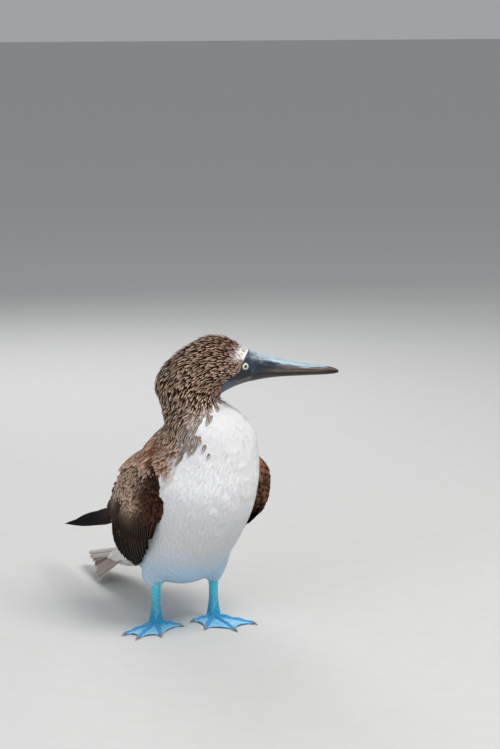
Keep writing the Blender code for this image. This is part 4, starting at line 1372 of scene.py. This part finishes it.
def bill_colours(points, upper):
    along, side = head_coordinates(points)
    z = points[:, 2]
    table = np.array(BILL_SECTIONS)
    culmen, mouth, underside = (np.interp(along, table[:, 0], table[:, k]) for k in (1, 2, 3))
    drawn_out = np.stack([along * 0.12, z, side], axis=1)
    streaks = value_noise(drawn_out, 0.8, 51) - 0.5
    blotches = value_noise(np.stack([along * 0.3, z, side], axis=1), 2.6, 52) - 0.5
    if not upper:
        depth = np.clip((mouth - z) / (mouth - underside), 0, 1)
        colour = mix(linear(BILL_BROWN), linear(BILL_UNDER), smooth_step(0.35, 0.8, depth + 0.6 * blotches))
        colour = mix(colour, linear(BILL_TIP), smooth_step(140, 166, along))
        colour = mix(colour, linear(FACE_BLUE), 0.5 * smooth_step(84, 76, along) * smooth_step(0.3, 0.8, depth))
        return colour * (1 + 0.5 * streaks)[:, None]
    rise = (z - mouth) / (culmen - mouth)
    edge = np.interp(along, (77, 84, 100, 130, 156, 164, 170), (0.86, 0.80, 0.70, 0.56, 0.62, 0.95, 1.4))
    pale = smooth_step(-0.10, 0.12, rise - edge + 0.22 * streaks + 0.22 * blotches)
    colour = mix(linear(BILL_SLATE), linear(BILL_BROWN), smooth_step(98, 124, along + 16 * blotches + 20 * (0.3 - rise)))
    mauve = smooth_step(0.26, 0.42, rise + 0.3 * streaks) * smooth_step(98, 118, along)
    colour = mix(colour, linear(BILL_MAUVE), 0.75 * mauve)
    colour = mix(colour, linear((132, 112, 84)), 0.5 * smooth_step(0.12, 0.05, np.abs(rise - 0.2)) * smooth_step(84, 110, along))
    colour = mix(colour, linear(BILL_TIP), smooth_step(154, 166, along))
    colour = mix(colour, linear(CULMEN), pale)
    colour = mix(colour, linear(FACE_BLUE), smooth_step(83, 78, along + 3 * blotches) * (1 - 0.6 * pale))
    # Painted highlight: a whitish strip along the top of the culmen, short of the tip.
    colour = mix(colour, linear((176, 192, 204)), 0.5 * smooth_step(0.82, 0.97, rise) * smooth_step(164, 156, along))
    return np.clip(colour * (1 + 0.45 * streaks)[:, None], 0, 0.95)


def horn_material(name, layer, roughness, grain, strength):
    """Horn or skin with painted colours and a fine grain."""
    material, tree, shader = new_material(name, roughness, Specular_IOR_Level=0.5)
    tree.links.new(attribute(tree, layer), shader.inputs["Base Color"])
    bump(tree, shader, noise(tree, grain, 4.0), strength, 0.0003)
    return material


def build_bill():
    for label, upper in (("upper", True), ("lower", False)):
        material = horn_material("bill_" + label + "_horn", "horn", 0.36, 700.0, 0.25)
        obj = object_from("bill_" + label + "_horn", loft(bill_half(upper)), material)
        paint(obj.data, "horn", bill_colours(mesh_points(obj.data), upper))
        dress(obj, "bill_horn", "bill_" + label)


def gape_distance(along, z):
    """Distance to the line of the mouth on the face, in side view."""
    nearest = np.full(np.shape(along), 99.0)
    for (s0, z0), (s1, z1) in zip(GAPE_LINE, GAPE_LINE[1:]):
        run = np.array([s1 - s0, z1 - z0])
        t = np.clip(((along - s0) * run[0] + (z - z0) * run[1]) / (run @ run), 0, 1)
        nearest = np.minimum(nearest, np.hypot(along - s0 - t * run[0], z - z0 - t * run[1]))
    return nearest


def face_colours(points):
    along, side = head_coordinates(points)
    z = points[:, 2]
    mottle = value_noise(points, 1.6, 53) - 0.5
    from_eye = np.hypot(along - EYE_S - 1.5, z - EYE_Z)
    colour = mix(linear(FACE_SKIN), linear(FACE_BLUE), smooth_step(5.5, 12, from_eye + 3 * mottle) * smooth_step(300, 312, z))
    gape = gape_distance(along, z)
    below = z < np.interp(along, *np.array(GAPE_LINE).T)
    brown = smooth_step(9, 3, gape + 3 * mottle) * below
    colour = mix(colour, linear((104, 92, 92)), 0.8 * brown)
    colour = mix(colour, linear(CHIN_BLUE), smooth_step(291.5, 287.5, z + 2 * mottle) * (1 - brown))
    colour = mix(colour, linear((24, 28, 34)), smooth_step(0.75, 0.3, gape))
    return colour * (1 + 0.5 * mottle)[:, None]


def build_face():
    """Bare skin from the eye to the bill and down the chin. Under the feathers it lies deeper than their skin."""
    table = np.array(FACE_EDGE, float)
    rings = []
    for row in refine(HEAD_RINGS, FACE_STEPS):
        if row[3] < 42:
            continue
        outer = np.array(body_ring(row, -0.15, FACE_ROUND))
        inner = np.array(body_ring(row, -2.4, FACE_ROUND))
        along, side = head_coordinates(outer)
        edge = np.interp(outer[:, 2], table[:, 0], table[:, 1])
        bare = smooth_step(-3.0, -0.5, along - edge)
        groove = 0.35 * np.exp(-(gape_distance(along, outer[:, 2]) / 0.45) ** 2)
        socket = 0.30 * np.exp(-((along - EYE_S) ** 2 + (outer[:, 2] - EYE_Z) ** 2) / 30)
        share = bare - groove - socket
        rings.append([Vector(p) for p in inner + (outer - inner) * share[:, None]])
    obj = object_from("face_skin", loft(rings), horn_material("face_skin", "skin", 0.5, 1500.0, 0.5))
    paint(obj.data, "skin", face_colours(mesh_points(obj.data)))
    dress(obj, "bill_horn")


def closed_tube(rings):
    """Ring-shaped body through sections, the last joined to the first."""
    bm = bmesh.new()
    loops = [[bm.verts.new(point) for point in ring] for ring in rings]
    count = len(loops[0])
    for low, high in zip(loops, loops[1:] + loops[:1]):
        for k in range(count):
            m = (k + 1) % count
            bm.faces.new((low[k], low[m], high[m], high[k]))
    return bm


def build_eye(label):
    """Eyeball with a bulging cornea, and a thick lid round its opening."""
    side = SIDES[label]
    centre = head_place(EYE_S, side * EYE_SIDE, EYE_Z)
    facing = (head_place(0.25, side, 0) - head_place(0, 0, 0)).normalized()
    up = (Vector((0, 0, 1)) - facing * facing.z).normalized()
    aside = facing.cross(up)
    rings = []
    for k in range(1, 48):
        polar = math.pi * k / 48
        radius = EYE_RADIUS * (0.985 + 0.05 * math.exp(-(polar / 0.42) ** 4))
        rings.append([centre + facing * radius * math.cos(polar)
                      + (up * math.cos(a) + aside * math.sin(a)) * radius * math.sin(polar)
                      for a in np.linspace(0, 2 * math.pi, 72, endpoint=False)])
    material, tree, shader = new_material("eye_" + label, 0.12, Specular_IOR_Level=0.6, Coat_Weight=1.0,
                                          Coat_Roughness=0.02)
    tree.links.new(attribute(tree, "eye"), shader.inputs["Base Color"])
    ball = object_from("eyeball_" + label, loft(rings), material)
    offset = mesh_points(ball.data) - np.array(centre)
    high = offset @ np.array(up)
    wide = offset @ np.array(aside)
    front = offset @ np.array(facing) > 0
    apart = np.hypot(wide, high)
    spoke = value_noise(np.stack([np.degrees(np.arctan2(high, wide)) / 9, apart * 0.5, 0 * apart], axis=1), 1, 54)
    iris = linear(IRIS) * (0.80 + 0.25 * spoke)[:, None]
    iris = mix(iris, linear((176, 168, 120)), smooth_step(2.3, 1.6, apart))
    # The pupil is painted 0.5 mm above the eye's middle: the pupil itself plus painted shade of the upper lid.
    pupil = np.hypot(wide / 1.5, (high - 0.5) / 2.05)
    colour = mix(iris, linear((10, 10, 12)), smooth_step(1.08, 0.95, pupil))
    colour = mix(colour, linear((34, 40, 48)), smooth_step(3.45, 3.75, apart))
    colour = np.where(front[:, None], colour, linear((34, 40, 48)))
    paint(ball.data, "eye", colour)
    dress(ball, "eye_surface", "eye_" + label)
    rings = []
    for a in np.linspace(0, 2 * math.pi, 72, endpoint=False):
        opening = LID_OPENING * (1 - 0.05 * math.cos(a) + 0.03 * math.cos(2 * a))
        thick = 1.05 + 0.25 * math.cos(a) + 0.06 * math.sin(11 * a) * math.cos(5 * a)
        outward = up * math.cos(a) + aside * math.sin(a)
        reach = opening + 0.5 * thick
        middle = centre + outward * reach + facing * (math.sqrt(EYE_RADIUS ** 2 - reach ** 2) + 0.05)
        rings.append([middle + outward * 0.85 * thick * math.cos(b) + facing * 0.62 * thick * math.sin(b)
                      for b in np.linspace(0, 2 * math.pi, 16, endpoint=False)])
    lid_material = new_material("lid_" + label, 0.45, Base_Color=(*linear((58, 74, 92)), 1), Specular_IOR_Level=0.5)
    shader = lid_material[2]
    bump(lid_material[1], shader, noise(lid_material[1], 1500.0), 0.4, 0.0002)
    lid = object_from("eyelid_" + label, closed_tube(rings), lid_material[0])
    dress(lid, "bill_horn")


# Legs, feet and claws


LEG_RINGS = ((5.0, 7.6, 8.4), (12.3, 6.9, 7.8), (18.0, 6.0, 7.0), (27.0, 5.3, 6.2), (38.0, 5.3, 6.2), (45.7, 5.8, 6.8),
             (52.0, 6.2, 7.2))
FOOT_RINGS = ((0.0, 8.0, 9.0), (4.0, 8.4, 9.4), (9.0, 7.6, 8.4), (12.0, 6.4, 7.2))
# Toes of each foot: name, length, turn towards the outer side
FEET = {
    "right": (("hallux", 29, -52), ("inner", 46, 14), ("middle", 57, 41), ("outer", 53, 62)),
    "left": (("hallux", 29, -76), ("inner", 46, -33), ("middle", 57, 3), ("outer", 53, 37)),
}
CLAW_LENGTH = {"hallux": 5.0, "inner": 7.0, "middle": 8.5, "outer": 6.5}
TOE_WIDTH = 8.5
TOE_HEIGHT = 7.0
WEB_THICKNESS = 1.5
WEB_HOLLOW = 0.11
FOOT_VOXEL = 0.62
SCUTE = 2.7

LEG_TOP = (84, 214, 234)
LEG_LOW = (8, 158, 204)
TOE_BLUE = (34, 138, 200)
WEB_BLUE = (126, 204, 242)
CLAW_GREY = (104, 102, 104)


def toe_place(label, turn, distance, aside=0.0, z=0.0):
    angle = math.radians(turn)
    outward = SIDES[label]
    x = LEG_X[label] + outward * (distance * math.sin(angle) + aside * math.cos(angle))
    return Vector((x, -distance * math.cos(angle) + aside * math.sin(angle), z))


def oval_ring(x, z, half_x, half_y, count):
    return [Vector((x + half_x * math.cos(a), half_y * math.sin(a), z))
            for a in np.linspace(0, 2 * math.pi, count, endpoint=False)]


def skin_blue_material(name, cell, strength):
    """Scaled skin of legs and feet: painted blue, with small plates and a slight wet sheen."""
    material, tree, shader = new_material(name, 0.42, Specular_IOR_Level=0.5)
    plates = node(tree, "ShaderNodeTexVoronoi", Scale=cell)
    tree.links.new(tree.nodes.new("ShaderNodeTexCoord").outputs["Object"], plates.inputs["Vector"])
    height = ramp(tree, plates.outputs["Distance"], 0.75, 0.15)
    shade = maths(tree, "ADD", maths(tree, "MULTIPLY", height, 0.30), 0.80)
    colour = blend_colours(tree, 1.0, attribute(tree, "skin"), shade, "MULTIPLY")
    tree.links.new(colour, shader.inputs["Base Color"])
    bump(tree, shader, height, strength, 0.0004)
    return material


def build_leg(label, material):
    """Shank with a row of broad plates down its front."""
    rings = []
    for z, half_x, half_y in refine(LEG_RINGS, 16):
        ring = oval_ring(LEG_X[label], z, half_x, half_y, 64)
        groove = 1 - abs(math.sin(math.pi * z / SCUTE)) ** 0.4
        for k, point in enumerate(ring):
            outward = Vector((point.x - LEG_X[label], point.y, 0)).normalized()
            front = max(0.0, -outward.y) ** 2
            ring[k] = point - outward * 0.38 * groove * front
        rings.append(ring)
    obj = object_from("shank_" + label, loft(rings), material)
    points = mesh_points(obj.data)
    mottle = value_noise(points, 2.2, 55)
    colour = mix(linear(LEG_LOW), linear(LEG_TOP), smooth_step(8, 44, points[:, 2]))
    # Painted highlight: a pale strip down the front of the shank, broken into patches by the mottle.
    colour = mix(colour, linear((150, 212, 214)), 0.35 * smooth_step(-2, -7, points[:, 1]) * smooth_step(0.4, 0.7, mottle))
    paint(obj.data, "skin", colour * (0.92 + 0.16 * mottle)[:, None])
    dress(obj, "leg_skin", "leg_" + label)


def toe_rings(label, length, turn):
    rings = []
    for t in np.linspace(0, 1, 44):
        swelling = 1 + 0.10 * math.cos(6 * math.pi * t)
        half = TOE_WIDTH / 2 * (1 - 0.42 * t) * swelling
        height = TOE_HEIGHT * (1 - 0.45 * t) * swelling
        distance = -3 + (length + 3.2) * t
        rings.append([toe_place(label, turn, distance, half * math.cos(a), 0.05 + height * math.sin(a) ** 0.9)
                      for a in np.linspace(0, math.pi, 14)])
    return rings


def web_rings(label, first, second):
    """Slab of skin between two toes, hollow at its edge, arched and gently folded."""
    rings = []
    for t in np.linspace(0.08, 0.985, 40):
        upper = []
        lower = []
        for w in np.linspace(0, 1, 26):
            bay = 4 * w * (1 - w)
            share = t * (1 - WEB_HOLLOW * t * bay)
            start = toe_place(label, first[2], first[1] * share)
            end = toe_place(label, second[2], second[1] * share)
            point = start.lerp(end, w)
            fold = 0.30 * math.sin(math.pi * (7 * w + 1.3 * math.sin(3 * t))) * math.sin(math.pi * w) * t
            lift = 0.35 + 1.2 * math.sin(math.pi * w)
            upper.append(Vector((point.x, point.y, lift + WEB_THICKNESS + fold)))
            lower.append(Vector((point.x, point.y, lift)))
        rings.append(upper + lower[::-1])
    return rings


def build_foot(label, material):
    """Toes, webs and ankle grown together into one skin."""
    bm = loft([oval_ring(LEG_X[label], *ring, 40) for ring in FOOT_RINGS])
    toes = FEET[label]
    for name, length, turn in toes:
        loft(toe_rings(label, length, turn), bm)
    for first, second in zip(toes, toes[1:]):
        loft(web_rings(label, first, second), bm)
    obj = remesh(object_from("webbed_foot_" + label, bm, None), FOOT_VOXEL, 3)
    for vert in obj.data.vertices:
        vert.co.z = max(vert.co.z, 0.03 * MM)
    points = mesh_points(obj.data)
    toe = np.zeros(len(points))
    for name, length, turn in toes:
        start = np.array(toe_place(label, turn, 0))[:2]
        run = np.array(toe_place(label, turn, length))[:2] - start
        t = np.clip((points[:, :2] - start) @ run / (run @ run), 0, 1)
        apart = np.linalg.norm(points[:, :2] - start - t[:, None] * run, axis=1)
        toe = np.maximum(toe, smooth_step(1.15, 0.75, apart / (TOE_WIDTH / 2 * (1 - 0.42 * t))))
    mottle = value_noise(points, 3.0, 56)
    fine = value_noise(points, 1.1, 57)
    ankle = smooth_step(20, 7, np.hypot(points[:, 0] - LEG_X[label], points[:, 1]))
    colour = mix(linear(WEB_BLUE), linear(TOE_BLUE), 0.8 * toe)
    colour = mix(colour, linear(LEG_LOW), 0.8 * ankle)
    # Painted highlight: pale blue-white glints in patches on the webs.
    colour = mix(colour, linear((176, 214, 240)), 0.45 * (1 - toe) * smooth_step(0.55, 0.8, mottle))
    paint(obj.data, "skin", np.clip(colour * (0.82 + 0.36 * fine)[:, None], 0, 0.95))
    obj.data.materials.append(material)
    dress(obj, "foot_skin", "foot_" + label)


def build_claw(label, name, length, turn, material):
    span = CLAW_LENGTH[name]
    rings = []
    for t in np.linspace(-0.3, 1, 22):
        shown = max(t, 0.0)
        half = 1.95 * (1 - 0.80 * shown)
        height = 3.4 * (1 - 0.74 * shown)
        lift = 0.1 + 1.2 * math.sin(math.pi * shown) * (1 - shown)
        distance = length + 0.3 + (span - 0.1) * t
        rings.append([toe_place(label, turn, distance, half * math.cos(a), lift + height / 2 * (1 + math.sin(a)))
                      for a in np.linspace(0, 2 * math.pi, 18, endpoint=False)])
    obj = object_from("nail_" + label + "_" + name, loft(rings), material)
    dress(obj, "claw_horn", "claw_" + label + "_" + name)


def claw_material():
    material, tree, shader = new_material("claw_horn", 0.35, Specular_IOR_Level=0.5)
    grey = tuple(linear(CLAW_GREY))
    pale = tuple(linear((168, 162, 154)))
    colour = blend_colours(tree, ramp(tree, noise(tree, 500.0, 3.0), 0.35, 0.7), grey, pale)
    tree.links.new(colour, shader.inputs["Base Color"])
    bump(tree, shader, noise(tree, 900.0), 0.2, 0.0002)
    return material


def build_legs():
    shank = skin_blue_material("shank_skin", 620.0, 0.5)
    web = skin_blue_material("web_skin", 900.0, 0.45)
    horn = claw_material()
    for label, toes in FEET.items():
        build_leg(label, shank)
        build_foot(label, web)
        for name, length, turn in toes:
            build_claw(label, name, length, turn, horn)


# Stage, lights and camera


def add_light(name, place, aim, size, power, colour=(1, 1, 1)):
    light = bpy.data.lights.new(name, "AREA")
    light.shape = "DISK"
    light.size = size
    light.energy = power
    light.color = colour
    obj = link(bpy.data.objects.new(name, light))
    obj.location = place
    obj.rotation_euler = (Vector(aim) - Vector(place)).to_track_quat("-Z", "Y").to_euler()


def build_stage():
    bm = bmesh.new()
    bmesh.ops.create_grid(bm, x_segments=2, y_segments=2, size=40.0)
    mesh = bpy.data.meshes.new("floor")
    bm.to_mesh(mesh)
    bm.free()
    floor = link(bpy.data.objects.new("floor", mesh))
    material, tree, shader = new_material("floor", 0.9, Specular_IOR_Level=0.2)
    grain = noise(tree, 40.0, 3.0)
    tree.links.new(blend_colours(tree, grain, (0.60, 0.60, 0.59), (0.64, 0.64, 0.63)), shader.inputs["Base Color"])
    mesh.materials.append(material)
    world = bpy.data.worlds.new("studio")
    world.use_nodes = True
    world.node_tree.nodes["Background"].inputs["Color"].default_value = (0.88, 0.91, 0.95, 1)
    world.node_tree.nodes["Background"].inputs["Strength"].default_value = 0.40
    bpy.context.scene.world = world
    bpy.context.scene.view_settings.view_transform = "Standard"
    add_light("key", (0.6, -1.2, 2.3), (0, 0, 0.2), 1.3, 46, (1.0, 0.98, 0.95))
    add_light("fill", (-1.7, -1.3, 1.2), (0, 0, 0.2), 1.6, 11, (0.92, 0.96, 1.0))
    add_light("rim", (0.3, 1.8, 1.4), (0, 0, 0.2), 1.2, 16)


CAMERA_PLACE = Vector((-847.98, -2189.95, 706.73))
CAMERA_TURN = -23.0
CAMERA_RISE = 10.0


def build_camera():
    data = bpy.data.cameras.new("camera")
    data.sensor_fit = "AUTO"
    data.sensor_width = 36.0
    data.lens = 100.0
    camera = link(bpy.data.objects.new("camera", data))
    camera.location = (CAMERA_PLACE + SHIFT) * MM
    turn, rise = math.radians(CAMERA_TURN), math.radians(CAMERA_RISE)
    away = Vector((math.sin(turn) * math.cos(rise), -math.cos(turn) * math.cos(rise), math.sin(rise)))
    camera.rotation_euler = (-away).to_track_quat("-Z", "Y").to_euler()
    bpy.context.scene.camera = camera


def main():
    body, surface = build_body()
    build_feathered_limbs(surface)
    build_bill()
    build_face()
    for label in SIDES:
        build_eye(label)
    build_legs()
    build_stage()
    build_camera()


main()
